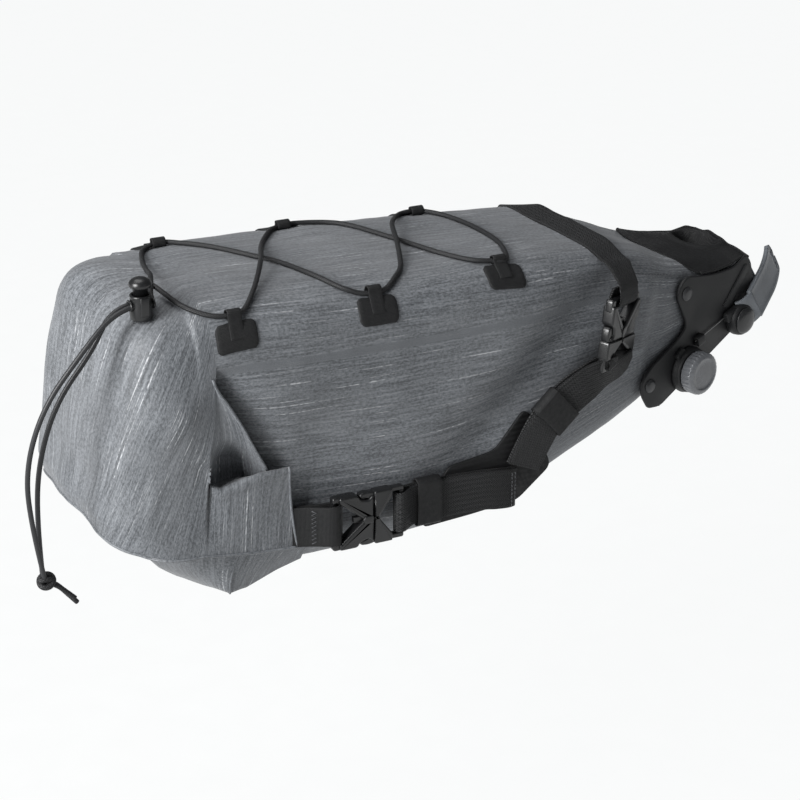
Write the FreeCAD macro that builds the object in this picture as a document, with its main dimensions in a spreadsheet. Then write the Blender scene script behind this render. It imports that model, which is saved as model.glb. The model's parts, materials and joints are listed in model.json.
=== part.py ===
import FreeCAD, Part
import math
import os

# Saddle bag for a bicycle, in millimetres.
# +X points forwards to the seatpost, +Z up, -Y to the rider's right. The origin lies on the
# seatpost's axis, at the height of the strap that goes round the post.

V = FreeCAD.Vector
DOC = FreeCAD.newDocument("saddle_bag")
SHEET = DOC.addObject("Spreadsheet::Sheet", "Sizes")
os.makedirs("parts", exist_ok=True)

SIZES = {
    "post_radius": 15.8, "post_lean": 30, "cradle_low": -0.5, "cradle_high": 30.5,
    "cradle_back": 34, "cradle_front": 6, "cradle_half_width": 21,
    "fabric": 1.6, "crown_power": 5.5, "belly_power": 4, "ear_thick": 2, "ear_offset": 79,
    "panel_thick": 2.2, "panel_front_x": -19, "panel_front_y": 28.7, "panel_angle": 16.9,
    "rivet_radius": 3.5, "rivet_proud": 1.4,
    "web_width": 25, "web_thick": 1.6, "patch_thick": 1.2,
    "buckle_width": 33.5, "buckle_thick": 9, "frame_thick": 4, "female_length": 18,
    "bar_length": 8, "ladder_length": 19.6, "cavity_width": 27.6, "cavity_thick": 6,
    "prong_width": 6, "prong_length": 15, "prong_thick": 4.4, "slot_width": 26.4,
    "lower_buckle_y": 86, "lower_buckle_x": -317, "lower_web_z": -75.5,
    "upper_buckle_y": 71.5, "upper_buckle_x": -145.6, "upper_buckle_z": 6,
    "upper_buckle_tilt": 82.6,
    "keeper_length": 11, "keeper_width": 29, "keeper_thick": 7.6, "keeper_wall": 1.2,
    "sleeve_thick": 5.4, "sleeve_extra": 6,
    "cord_radius": 1.5, "loop_length": 8, "loop_wall": 1.2, "loop_clear": 0.6,
    "loop_patch_width": 25, "loop_patch_height": 17,
    "lock_radius": 6.6, "lock_height": 20, "lock_bore": 4.6, "button_radius": 4.3,
    "button_travel": 4, "button_height": 16,
    "dial_radius": 13.6, "dial_height": 8.5, "dial_base_radius": 14.6, "dial_base_height": 6,
    "spool_radius": 9.8, "spool_height": 3.6, "spool_bore": 10.2,
    "puck_radius": 10.4, "puck_height": 7, "puck_cap_radius": 8.4, "puck_cap_height": 1.6,
    "lace_radius": 0.55, "lace_rise": 1.1, "lace_offset": 6.5, "lace_slope": 12,
    "post_strap_width": 24, "post_strap_thick": 2.4, "stud_radius": 2.6, "stud_height": 5,
    "roll_radius": 10, "closure_half_width": 73, "fold_width": 116,
    "stiffener_depth": 13, "stiffener_width": 148, "stiffener_thick": 2, "stiffener_gap": 0.4,
    "core_length": 16, "core_width": 34, "core_height": 20, "core_back": 51, "core_rise": 6,
    "lace_length": 41, "knot_radius": 6.2, "prong_margin": 0.8, "half_gap": 0.4,
    "brow_length": 3.2, "tongue_width": 4, "ladder_slot": 4.6, "ladder_pitch": 7.4,
    "lock_slot_width": 9.2, "lock_slot_height": 4.4, "lock_hole_rise": 9, "coil_radius": 2.6,
}
for row, (alias, value) in enumerate(SIZES.items(), 1):
    SHEET.set(f"A{row}", alias)
    SHEET.set(f"B{row}", str(value))
    SHEET.setAlias(f"B{row}", alias)
DOC.recompute()


def size(alias):
    return float(getattr(SHEET, alias))


NODES = []


def keep(obj, label, placement=None):
    """Name an object as a sub-part and set where it stands."""
    obj.Label = label
    if placement is not None:
        obj.Placement = placement
    NODES.append(obj)
    return obj


def solid(label, shape, placement=None):
    """A sub-part whose form no primitive or sketch gives."""
    obj = DOC.addObject("Part::Feature", "F_" + label)
    obj.Shape = shape
    return keep(obj, label, placement)


def bind(obj, **cells):
    """Tie properties of an object to cells of the sheet."""
    for prop, text in cells.items():
        for alias in sorted(SIZES, key=len, reverse=True):
            text = text.replace("@" + alias, "Sizes." + alias)
        obj.setExpression(prop, text)
    return obj


def box(name, length, width, height, corner):
    """A box whose three sizes and corner are expressions on the sheet."""
    obj = DOC.addObject("Part::Box", name)
    bind(obj, Length=length, Width=width, Height=height)
    for axis, text in zip("xyz", corner):
        bind(obj, **{f"Placement.Base.{axis}": text})
    return obj


def cylinder(name, radius, height, rise=None):
    """An upright cylinder, standing at an expression for its rise if it isn't placed later."""
    obj = DOC.addObject("Part::Cylinder", name)
    bind(obj, Radius=radius, Height=height)
    if rise is not None:
        obj.setExpression("Placement.Base.z", rise)
    return obj


def fuse(name, shapes):
    obj = DOC.addObject("Part::MultiFuse", name)
    obj.Shapes = shapes
    return obj


def cut(name, base, tool):
    obj = DOC.addObject("Part::Cut", name)
    obj.Base = base
    obj.Tool = tool
    return obj


def plate(label, outline, thick, placement, holes=()):
    """A flat piece: one closed sketch on its own XY plane, padded by a cell of the sheet."""
    body = DOC.addObject("PartDesign::Body", "B_" + label)
    plane = [f for f in body.Origin.OriginFeatures if f.Role == "XY_Plane"][0]
    sketch = body.newObject("Sketcher::SketchObject", "S_" + label)
    sketch.AttachmentSupport = (plane, [""])
    sketch.MapMode = "FlatFace"
    for a, b in zip(outline, outline[1:] + outline[:1]):
        sketch.addGeometry(Part.LineSegment(V(a[0], a[1], 0), V(b[0], b[1], 0)))
    for x, y, radius in holes:
        sketch.addGeometry(Part.Circle(V(x, y, 0), V(0, 0, 1), radius))
    pad = body.newObject("PartDesign::Pad", "P_" + label)
    pad.Profile = sketch
    bind(pad, Length="@" + thick)
    return keep(body, label, placement)


def seat(side, x, y, z, plan=0.0, turn=0.0):
    """Where a piece stands on the bag's side: its own Z points outwards, its own Y up.

    side is 1 for the right (-Y) and -1 for the left. plan is the side's angle seen from above,
    and turn leans the piece in the plane of the side.
    """
    a = math.radians(plan)
    along = V(side * math.cos(a), math.sin(a), 0)
    out = V(math.sin(a), -side * math.cos(a), 0)
    base = FreeCAD.Rotation(along, V(0, 0, 1), out, "ZXY")
    return FreeCAD.Placement(V(x, -side * y, z), base * FreeCAD.Rotation(V(0, 0, 1), turn))


def unit(v):
    return V(v).normalize()


def ribbon(points, thick, width, plane):
    """A strap of constant thickness that follows points, and is as wide as width across them.

    plane is the pair of unit vectors that the points' two numbers run along.
    """
    right, left = [], []
    for i, p in enumerate(points):
        before = points[max(i - 1, 0)]
        after = points[min(i + 1, len(points) - 1)]
        ways = [V(q[0] - o[0], q[1] - o[1], 0) for o, q in ((before, p), (p, after)) if o != q]
        ways = [unit(w) for w in ways]
        mean = unit(ways[0] + ways[-1])
        reach = thick / 2 / max(0.35, mean.dot(ways[0]))
        right.append((p[0] + mean.y * reach, p[1] - mean.x * reach))
        left.append((p[0] - mean.y * reach, p[1] + mean.x * reach))
    ring = right + left[::-1]
    u, v = plane
    across = u.cross(v)
    ends = [u * a + v * b - across * (width / 2) for a, b in ring]
    face = Part.Face(Part.makePolygon(ends + ends[:1]))
    return face.extrude(across * width)


def cord_path(points):
    """Straight runs joined by tangent arcs, with each arc's radius printed."""
    pts = [V(*p) for p in points]
    runs = [(b - a).Length for a, b in zip(pts, pts[1:])]
    edges, start, radii = [], pts[0], []
    for i in range(1, len(pts) - 1):
        before, after = unit(pts[i] - pts[i - 1]), unit(pts[i + 1] - pts[i])
        turn = before.getAngle(after)
        back = 0.45 * min(runs[i - 1], runs[i])
        radii.append(round(back / math.tan(turn / 2), 1))
        first, last = pts[i] - before * back, pts[i] + after * back
        centre_way = unit(after - before)
        radius = back / math.tan(turn / 2)
        centre = pts[i] + centre_way * (radius / math.cos(turn / 2))
        middle = centre - centre_way * radius
        edges.append(Part.makeLine(start, first))
        edges.append(Part.Arc(first, middle, last).toShape())
        start = last
    edges.append(Part.makeLine(start, pts[-1]))
    return Part.Wire(edges), radii


def cord(label, points, radius):
    """A round cord along a path, checked against its section times its length."""
    wire, radii = cord_path(points)
    start, way = V(*points[0]), V(*points[1]) - V(*points[0])
    ring = Part.Wire(Part.makeCircle(radius, start, way))
    shape = wire.makePipeShell([ring], True, False)
    wanted = math.pi * radius ** 2 * wire.Length
    print(f"{label}: length {wire.Length:.1f}, radii {radii}, volume {shape.Volume / wanted:.4f}")
    return solid(label, shape)


# ---------------------------------------------------------------- the bag's body
# Stations from the mouth at the rear to the nose: x, half width, top, bottom, and how far the
# station leans back with height.
STATIONS = [
    (-440, 73.5, 60.5, -102, 0.10),
    (-395, 76.5, 65.0, -107, 0.04),
    (-345, 77.5, 63.5, -109, 0.0),
    (-285, 77.5, 62.0, -109, 0.0),
    (-217, 73.3, 59.5, -100, 0.0),
    (-165, 66.0, 55.5, -81, 0.0),
    (-120, 57.0, 47.0, -61, 0.0),
    (-92, 49.0, 36.5, -46, 0.0),
    (-62, 40.4, 29.5, -29, 0.0),
]
WIDEST = 0.45


def station_wire(x, half, top, low, lean, shrink=0.0):
    """A closed section: a squarer crown above the widest line, and a rounder belly below it."""
    middle = low + WIDEST * (top - low)
    half, top, low = half - shrink, top - shrink, low + shrink
    points = []
    for k in range(24):
        a = 2 * math.pi * (k + 0.5) / 24
        c, s = math.cos(a), math.sin(a)
        power = size("crown_power") if s > 0 else size("belly_power")
        scale = (abs(c) ** power + abs(s) ** power) ** (-1 / power)
        z = middle + s * scale * ((top - middle) if s > 0 else (middle - low))
        points.append(V(x - lean * z, half * c * scale, z))
    curve = Part.BSplineCurve()
    curve.interpolate(points, PeriodicFlag=True)
    return Part.Wire(curve.toShape())


def bag_loft(shrink=0.0):
    return [station_wire(*s, shrink=shrink) for s in STATIONS]


def section_at(x):
    """Half width, top and bottom of the bag at x, straight between two stations."""
    for a, b in zip(STATIONS, STATIONS[1:]):
        if x <= b[0]:
            t = max(0.0, (x - a[0]) / (b[0] - a[0]))
            return [a[i] + t * (b[i] - a[i]) for i in (1, 2, 3)]
    return list(STATIONS[-1][1:4])


def crown(x, y):
    """Height of the bag's upper face at x and y."""
    half, top, low = section_at(x)
    middle = low + WIDEST * (top - low)
    power = size("crown_power")
    return middle + (top - middle) * (1 - min(1.0, abs(y) / half) ** power) ** (1 / power)


outer = Part.makeLoft(bag_loft(), True)
wall = size("fabric")
inner_wires = bag_loft(wall)
mouth = inner_wires[0].copy()
mouth.translate(V(-12, 0, 0))
front = inner_wires[-1].copy()
front.translate(V(-wall, 0, 0))
inner = Part.makeLoft([mouth] + inner_wires[:-1] + [front], True)
solid("bag_shell", outer.cut(inner))

# ---------------------------------------------------------------- the folded rear closure
# Side view of the rear bowl, which the roll and its two ears belong to.
BOWL = [(-446.6, 59), (-456, 30), (-463, -17), (-477, -44), (-466, -73), (-447, -93), (-430.6, -103)]
SIDE_PLANE = (V(1, 0, 0), V(0, 0, 1))
bowl_half_width = size("closure_half_width")


def side_prism(outline, half_width):
    """A block whose side view is outline, as wide as twice half_width."""
    corners = [V(x, -half_width, z) for x, z in outline]
    return Part.Face(Part.makePolygon(corners + corners[:1])).extrude(V(0, 2 * half_width, 0))


top_rim, low_rim = BOWL[0], BOWL[-1]
middle_x = sum(x for x, z in BOWL) / len(BOWL) + 8
middle_z = sum(z for x, z in BOWL) / len(BOWL)
hollow = [(top_rim[0] + 6.6, top_rim[1] - 2 * wall)]
for x, z in BOWL:
    hollow.append((x + 2 * wall * (x < middle_x), z + wall * (1 if z < middle_z else -1)))
hollow.append((low_rim[0] + 6.6, low_rim[1] + 2 * wall))
bowl = side_prism(BOWL, bowl_half_width).cut(side_prism(hollow, bowl_half_width - wall))
roll_radius = size("roll_radius")
roll_centre = V(-472, 0, -50)
ear_y, ear_thick = size("ear_offset"), size("ear_thick")
roll_half = ear_y + ear_thick
roll = Part.makeCylinder(roll_radius, 2 * roll_half, roll_centre - V(0, roll_half, 0), V(0, 1, 0))
EAR = [(-363, -24), (-363, -89), (-430, -99), (-466, -73), (-479, -48), (-462, -20), (-400, -24)]
for sign in (1, -1):
    ear = Part.Face(Part.makePolygon([V(x, 0, z) for x, z in EAR + EAR[:1]]))
    ear = ear.extrude(V(0, sign * ear_thick, 0))
    ear.translate(V(0, sign * ear_y, 0))
    roll = roll.fuse(ear)
FOLD = [(-430.6, -104), (-424, -112), (-398, -118)]
fold = ribbon(FOLD, 2 * wall, size("fold_width"), SIDE_PLANE)
# The roll is wound round a flat stiffener, which has a little room all round.
stiff = V(size("stiffener_depth"), size("stiffener_width"), size("stiffener_thick"))
room = V(1, 1, 1) * size("stiffener_gap")
slot = Part.makeBox(*(stiff + room * 2), roll_centre - stiff / 2 - room)
closure = bowl.fuse([roll, fold]).cut(slot)
solid("roll_closure", closure.removeSplitter())
stiffener = DOC.addObject("Part::Box", "F_mouth_stiffener")
bind(stiffener, Length="@stiffener_depth", Width="@stiffener_width", Height="@stiffener_thick")
keep(stiffener, "mouth_stiffener", FreeCAD.Placement(roll_centre - stiff / 2, FreeCAD.Rotation()))

# ---------------------------------------------------------------- the nose
lean = math.radians(size("post_lean"))
UP_POST = V(-math.sin(lean), 0, math.cos(lean))
FORWARD = V(math.cos(lean), 0, math.sin(lean))
POST = FreeCAD.Placement(V(0, 0, 0), FreeCAD.Rotation(V(0, 1, 0), -size("post_lean")))
block = box("CradleBlock", "@cradle_back - @cradle_front", "2 * @cradle_half_width",
            "@cradle_high - @cradle_low", ("-@cradle_back", "-@cradle_half_width", "@cradle_low"))
post = cylinder("PostSpace", "@post_radius", "@cradle_high - @cradle_low + 4", "Sizes.cradle_low - 2")
keep(cut("CradleCut", block, post), "seatpost_cradle", POST)

core = DOC.addObject("Part::Box", "NoseCore")
bind(core, Length="@core_length", Width="@core_width", Height="@core_height")
corner = FORWARD * -size("core_back") - V(0, size("core_width") / 2, 0) + UP_POST * size("core_rise")
keep(core, "nose_stiffener", FreeCAD.Placement(corner, POST.Rotation))

# Outline of the moulded side panel: x along the bag and z, from its front lower corner round.
PANEL = [
    (-16.5, -6), (-26.8, 25.5), (-35, 22), (-55, 22), (-73, 25), (-85, 26.5), (-90, 20), (-83, 5),
    (-79.5, -7), (-83, -19), (-112, -30), (-118, -38), (-116, -46), (-109, -53), (-99, -55),
]
angle = size("panel_angle")
cos_panel = math.cos(math.radians(angle))
front_x, front_y = size("panel_front_x"), size("panel_front_y")


def on_panel(side, x, z, out=0.0, turn=0.0):
    """Place a piece on the side panel's plane at x and z, out from its inner face."""
    a = math.radians(angle)
    y = front_y + math.tan(a) * (front_x - x)
    where = seat(side, x, y, z, angle, turn)
    where.Base = where.Base + where.Rotation.multVec(V(0, 0, out))
    return where


proud = size("panel_thick")
SEAT_GAP = 0.05
RIVETS = ((-80, 15.4), (-110, -38.6))
for side, hand in ((1, "right"), (-1, "left")):
    outline = [(side * (x - front_x) / cos_panel, z) for x, z in PANEL]
    plate("nose_panel_" + hand, outline, "panel_thick", on_panel(side, front_x, 0))
    heads = []
    for n, (x, z) in enumerate(RIVETS):
        head = cylinder(f"Rivet{hand}{n}", "@rivet_radius", "@rivet_proud")
        head.Placement = on_panel(side, x, z, proud + SEAT_GAP)
        heads.append(head)
    both = DOC.addObject("Part::Compound", "Rivets_" + hand)
    both.Links = heads
    keep(both, "nose_rivets_" + hand)


def between_panels(profile, gap):
    """A sheet seen from the side as profile, as wide as the space between the two panels."""
    far, near = -118.0, -19.0
    slope = math.tan(math.radians(angle))
    wide = front_y + slope * (near - far) - gap
    plan = [V(far, wide, -80), V(far, -wide, -80), V(near, gap - front_y, -80), V(near, front_y - gap, -80)]
    wedge = Part.Face(Part.makePolygon(plan + plan[:1])).extrude(V(0, 0, 160))
    side_view = [V(x, -80, z) for x, z in profile]
    prism = Part.Face(Part.makePolygon(side_view + side_view[:1])).extrude(V(0, 160, 0))
    return prism.common(wedge)


COVER = [(-90, 37.6), (-62, 31), (-40, 28.5), (-36, 28), (-36, 30), (-40, 30.5), (-62, 33), (-90, 39.6)]
solid("nose_top_cover", between_panels(COVER, 0.6))
BASE = [(-104, -60), (-60, -33), (-37, -19.5), (-37, -17), (-60, -30.6), (-104, -57.6)]
solid("nose_base_cover", between_panels(BASE, 0.6))

# ---------------------------------------------------------------- webbing and buckles
web, thick = size("web_width"), size("web_thick")
# The V-shaped patch that both webbings are sewn to, as x and z on the bag's side.
PATCH = [
    (-191, -72), (-204, -35), (-210, -29.5), (-230.5, -53), (-261, -54), (-265, -60), (-270.5, -90),
    (-247, -89.5), (-218, -88),
]
patch_x, patch_plan = -279.0, 3.6
SADDLE = [(-66.5, 33), (-66.5, 44), (-60, 54), (-45, 58.5), (0, 59.5)]


def buckle_female(tag):
    """The side-release half with the cavity: its mouth at 0, its webbing bar at the far end."""
    shell = box("Female" + tag, "@female_length", "@buckle_width", "@buckle_thick",
                ("0", "-@buckle_width / 2", "-@buckle_thick / 2"))
    cavity = box("Cavity" + tag, "@female_length - 2", "@cavity_width", "@cavity_thick",
                 ("-1", "-@cavity_width / 2", "-@cavity_thick / 2"))
    window = box("Windows" + tag, "@female_length / 2", "@buckle_width + 2", "@cavity_thick",
                 ("@female_length / 4", "-@buckle_width / 2 - 1", "-@cavity_thick / 2"))
    bar = box("Bar" + tag, "@bar_length", "@buckle_width", "@frame_thick",
              ("@female_length", "-@buckle_width / 2", "-@frame_thick / 2"))
    slot_box = box("BarSlot" + tag, "@bar_length - 4.5", "@slot_width", "@frame_thick + 2",
                   ("@female_length + 1.2", "-@slot_width / 2", "-@frame_thick / 2 - 1"))
    return cut("FemaleCut" + tag, fuse("FemaleBody" + tag, [shell, bar]),
               fuse("FemaleTools" + tag, [cavity, window, slot_box]))


def buckle_male(tag):
    """The half with the two sprung prongs and the ladder bars that the webbing goes round."""
    frame = box("Ladder" + tag, "@ladder_length", "@buckle_width", "@frame_thick",
                ("-@ladder_length - @half_gap", "-@buckle_width / 2", "-@frame_thick / 2"))
    brow = box("Brow" + tag, "@brow_length", "@buckle_width", "@buckle_thick - 1",
               ("-@brow_length - @half_gap", "-@buckle_width / 2", "-@buckle_thick / 2 + 0.5"))
    edges = ("@cavity_width / 2 - @prong_width - @prong_margin", "@prong_margin - @cavity_width / 2")
    prongs = [
        box(f"Prong{tag}{n}", "@prong_length + @half_gap + 1", "@prong_width", "@prong_thick",
            ("-@half_gap - 1", edge, "-@prong_thick / 2"))
        for n, edge in enumerate(edges)
    ]
    tongue = box("Tongue" + tag, "@prong_length - 3 + @half_gap", "@tongue_width", "@prong_thick - 1",
                 ("-@half_gap - 1", "-@tongue_width / 2", "-@prong_thick / 2 + 0.5"))
    slots = [
        box(f"LadderSlot{tag}{n}", "@ladder_slot", "@slot_width", "@frame_thick + 2",
            (f"-9.4 - @half_gap - @ladder_pitch * {n}", "-@slot_width / 2", "-@frame_thick / 2 - 1"))
        for n in range(2)
    ]
    return cut("MaleCut" + tag, fuse("MaleBody" + tag, [frame, brow, tongue] + prongs),
               fuse("MaleTools" + tag, slots))


for side, hand in ((1, "right"), (-1, "left")):
    outline = [(side * (x - patch_x), z) for x, z in PATCH]
    plate("anchor_patch_" + hand, outline, "patch_thick", seat(side, patch_x, 78.0, 0, patch_plan))

    # The lower webbing goes round the ladder bars and its tail lies back over itself.
    low_y, low_x, low_z = size("lower_buckle_y"), size("lower_buckle_x"), size("lower_web_z")
    plan_view = (V(1, 0, 0), V(0, side, 0))
    turn_x = low_x + 7.0
    route = [(-219, -80.9), (turn_x, -80.9), (turn_x, -90.2), (-295.5, -90.2), (-288.5, -83.6), (-221, -83.6)]
    belt = ribbon(route, thick, web, plan_view)
    solid("lower_webbing_" + hand, belt, FreeCAD.Placement(V(0, 0, low_z), FreeCAD.Rotation()))
    keep(buckle_male("LM" + hand), "lower_buckle_male_" + hand,
         seat(side, low_x, low_y, low_z, 0, 180 if side == 1 else 0))
    keep(buckle_female("LF" + hand), "lower_buckle_female_" + hand,
         seat(side, low_x, low_y, low_z, 0, 180 if side == 1 else 0))
    tab_x = low_x - size("female_length") - 2.9
    tab = [(-378, -82.5), (tab_x, -82.5), (tab_x, -89.6), (-347, -89.6), (-356, -84.7), (-374, -84.7)]
    solid("closure_tab_" + hand, ribbon(tab, thick, web, plan_view),
          FreeCAD.Placement(V(0, 0, low_z), FreeCAD.Rotation()))
    ring_out = box("LowerKeeper" + hand, "@keeper_length", "@keeper_width", "@keeper_thick",
                   ("-@keeper_length / 2", "-@keeper_width / 2", "-@keeper_thick / 2"))
    ring_in = box("LowerKeeperHole" + hand, "@keeper_length + 2", "@keeper_width - 2 * @keeper_wall",
                  "@keeper_thick - 2 * @keeper_wall",
                  ("-@keeper_length / 2 - 1", "@keeper_wall - @keeper_width / 2",
                   "@keeper_wall - @keeper_thick / 2"))
    keep(cut("LowerKeeperCut" + hand, ring_out, ring_in), "lower_keeper_" + hand,
         seat(side, -279, 82.6, low_z))

    # The upper webbing climbs from the patch to the buckle under the saddle strap.
    up_x, up_y, up_z = size("upper_buckle_x"), size("upper_buckle_y"), size("upper_buckle_z")
    tilt = size("upper_buckle_tilt")
    buckle_turn = tilt if side == 1 else 180 - tilt
    keep(buckle_male("UM" + hand), "upper_buckle_male_" + hand,
         seat(side, up_x, up_y, up_z, 0, buckle_turn))
    keep(buckle_female("UF" + hand), "upper_buckle_female_" + hand,
         seat(side, up_x, up_y, up_z, 0, buckle_turn))
    low_end, top_end, web_slope = (-208, -66.5), (-162, -25), 55.8
    for name, a, b, y, plan in (
        ("side_webbing_lower_", low_end, (-191, -42), 77.3, 6.5),
        ("side_webbing_upper_", (-185.5, -37), top_end, 74.4, 9.0),
    ):
        middle = ((a[0] + b[0]) / 2, (a[1] + b[1]) / 2)
        length = math.dist(a, b)
        slope = math.degrees(math.atan2(b[1] - a[1], b[0] - a[0]))
        run = box("Run_" + name + hand, str(length), "@web_width", "@web_thick",
                  (str(-length / 2), "-@web_width / 2", "-@web_thick / 2"))
        turned = slope if side == 1 else 180 - slope
        strap_run = DOC.addObject("Part::Compound", "Strap_" + name + hand)
        strap_run.Links = [run]
        keep(strap_run, name + hand, seat(side, middle[0], y, middle[1], plan, turned))
    # Short turn of webbing through the ladder bars, sewn to the run below it.
    loop = [(-31, -4.6), (-7.0, -4.6), (-7.0, 4.2), (-24, 4.2), (-31, -1.6)]
    loop_shape = ribbon(loop, thick, web, (V(1, 0, 0), V(0, 0, 1)))
    solid("ladder_webbing_" + hand, loop_shape, seat(side, up_x, up_y, up_z, 0, buckle_turn))
    ring_out = box("UpperKeeper" + hand, "@keeper_length + @sleeve_extra", "@keeper_width", "@sleeve_thick",
                   ("-(@keeper_length + @sleeve_extra) / 2", "-@keeper_width / 2", "-@sleeve_thick / 2"))
    ring_in = box("UpperKeeperHole" + hand, "@keeper_length + @sleeve_extra + 2",
                  "@keeper_width - 2 * @keeper_wall", "@sleeve_thick - 2 * @keeper_wall",
                  ("-(@keeper_length + @sleeve_extra) / 2 - 1", "@keeper_wall - @keeper_width / 2",
                   "@keeper_wall - @sleeve_thick / 2"))
    keep(cut("UpperKeeperCut" + hand, ring_out, ring_in), "upper_keeper_" + hand,
         seat(side, -196.5, 77.4, -50.5, 6.5, web_slope if side == 1 else 180 - web_slope))

# The saddle strap goes from one upper buckle over the bag to the other.
across = SADDLE + [(-y, z) for y, z in SADDLE[-2::-1]]
top_x = size("upper_buckle_x") + 2.4
solid("saddle_strap", ribbon(across, thick, web, (V(0, 1, 0), V(0, 0, 1))),
      FreeCAD.Placement(V(top_x, 0, 0), FreeCAD.Rotation()))

# ---------------------------------------------------------------- cords on top
cord_r = size("cord_radius")
ROWS = ((-390, 67.0), (-303, 61.0), (-216, 53.0))


def cord_height(x, y, lift=3.0):
    return crown(x, y) + lift


def clear_drop(x, y, z, reach, gap):
    """Steepness at which a flat tab from y and z lies over the shoulder without touching it."""
    for step in range(6, 30):
        drop = 0.05 * step
        steps = [(y + reach * t * math.cos(drop), z - reach * t * math.sin(drop)) for t in (0.3, 0.6, 0.8, 1)]
        edges = (x - size("loop_patch_width") / 2, x, x + size("loop_patch_width") / 2)
        for u, w in steps:
            if any(u < section_at(e)[0] - 1 and w < crown(e, u) + gap for e in edges):
                return drop - 0.05
    return drop


LOOPS = {}
bore = cord_r + size("loop_clear")
tube_r = bore + size("loop_wall")
tube_long = size("loop_length")
tab_width, tab_height = size("loop_patch_width"), size("loop_patch_height")
for row, (x, y) in enumerate(ROWS, 1):
    z = max(crown(e, y - tube_r) for e in (x - 12, x, x + 12)) + tube_r + 0.5
    root_y = y + tube_r - 1.2
    drop = clear_drop(x, root_y, z, tab_height, 1.4)
    for side, hand in ((1, "right"), (-1, "left")):
        LOOPS[row, hand] = V(x, -side * y, z)
        start = V(x - tube_long / 2, -side * y, z)
        tube = Part.makeCylinder(tube_r, tube_long, start, V(1, 0, 0))
        tab = Part.makeBox(tab_width, tab_height, size("patch_thick"), V(-tab_width / 2, 0, 0))
        tab = tab.makeFillet(4, [e for e in tab.Edges if abs(e.tangentAt(0).z) > 0.9])
        tab.rotate(V(0, 0, 0), V(1, 0, 0), -math.degrees(drop))
        if side == 1:
            tab = tab.mirror(V(0, 0, 0), V(0, 1, 0))
        tab.translate(V(x, -side * root_y, z))
        channel = Part.makeCylinder(bore, tube_long + 20, start - V(10, 0, 0), V(1, 0, 0))
        solid(f"cord_loop_{hand}_{row}", tube.fuse(tab).cut(channel))

LOCK = V(-437, -40, crown(-437, -40) + 4.0)
HOLE_Z = size("lock_hole_rise")
EXITS = 4.2


def strand(a, b, crossing=0.0):
    """Points of a stretched run over the crown from one loop to the next, high where it crosses."""
    points = []
    for t in (0.22, 0.5, 0.78):
        p = a + (b - a) * t
        over = crossing if t == 0.5 else crossing * 0.55
        points.append(V(p.x, p.y, cord_height(p.x, p.y, 4.6 if t != 0.5 else 3.4) + over))
    return points


def through(loop, way):
    """The straight stretch inside a loop, entered on one side and left on the other."""
    reach = 10.0 * way
    return [loop - V(reach, 0, 0), loop + V(reach, 0, 0)]


lock_in = LOCK + V(EXITS + 7, -2.4, HOLE_Z)
lock_out = LOCK + V(EXITS + 7, 2.4, HOLE_Z)
path = [LOCK + V(-3, -2.4, HOLE_Z), lock_in]
ORDER = ((1, "right", 1), (2, "left", 1), (3, "right", 1), (3, "left", -1), (2, "right", -1), (1, "left", -1))
OVER = {(1, 2): 4.4, (3, 4): 0.0, (4, 5): 4.4}
for n, (row, hand, way) in enumerate(ORDER, 1):
    stretch = through(LOOPS[row, hand], way)
    if n > 1:
        path += strand(path[-1], stretch[0], OVER.get((n - 1, n), 0.0))
    path += stretch
turn_in = LOCK + V(27, 16, HOLE_Z - 1)
path += strand(path[-1], turn_in) + [turn_in, lock_out, LOCK + V(-3, 2.4, HOLE_Z)]
cord("bungee_cord", [tuple(p) for p in path], cord_r)

barrel = cylinder("LockBarrel", "@lock_radius", "@lock_height")
well = cylinder("LockWell", "@lock_bore", "@lock_height - 2", "2")
hole = box("LockHole", "4 * @lock_radius", "@lock_slot_width", "@lock_slot_height",
           ("-2 * @lock_radius", "-@lock_slot_width / 2", "@lock_hole_rise - @lock_slot_height / 2"))
keep(cut("LockCut", barrel, fuse("LockTools", [well, hole])), "cord_lock_barrel",
     FreeCAD.Placement(LOCK, FreeCAD.Rotation()))
button = cylinder("LockButton", "@button_radius", "@button_height", "Sizes.button_travel + 8")
button_top = cylinder("LockButtonTop", "@lock_radius - 0.4", "3",
                      "Sizes.button_height + Sizes.button_travel + 6.5")
slot_through = box("ButtonHole", "4 * @lock_radius", "@lock_slot_width", "5.2 + @button_travel",
                   ("-2 * @lock_radius", "-@lock_slot_width / 2", "@lock_hole_rise - 2.4"))
keep(cut("ButtonCut", fuse("ButtonBody", [button, button_top]), slot_through), "cord_lock_button",
     FreeCAD.Placement(LOCK, FreeCAD.Rotation()))
coil = cylinder("LockCoil", "@coil_radius", "@button_travel")
keep(coil, "cord_lock_spring", FreeCAD.Placement(LOCK + V(0, 0, 2.4), FreeCAD.Rotation()))

# The two free ends leave the lock, hang behind the bag and end in one knot.
KNOT = V(-500, -42, -92)
for name, offset, bulge in (("tail_upper", -2.4, 4.0), ("tail_lower", 2.4, -3.0)):
    out = [
        LOCK + V(-4.5, offset, HOLE_Z), LOCK + V(-20, offset - 1, HOLE_Z - 1),
        V(-480 - bulge, -42 + offset, 44), V(-501 - bulge, -44 + offset, 16),
        V(-510 - bulge, -45 + offset, -22), V(-508 - bulge / 2, -44 + offset, -56),
        KNOT + V(-2, offset, 9.5),
    ]
    cord(name, [tuple(p) for p in out], cord_r)
knot = Part.makeSphere(size("knot_radius"), KNOT)
ends = []
for y, z in ((-1.9, -17), (2.2, -21)):
    way = V(16, y * 2, z)
    ends.append(Part.makeCylinder(cord_r, way.Length, KNOT + V(0, y, 0), way))
solid("tail_knot", knot.fuse(ends))

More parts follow.
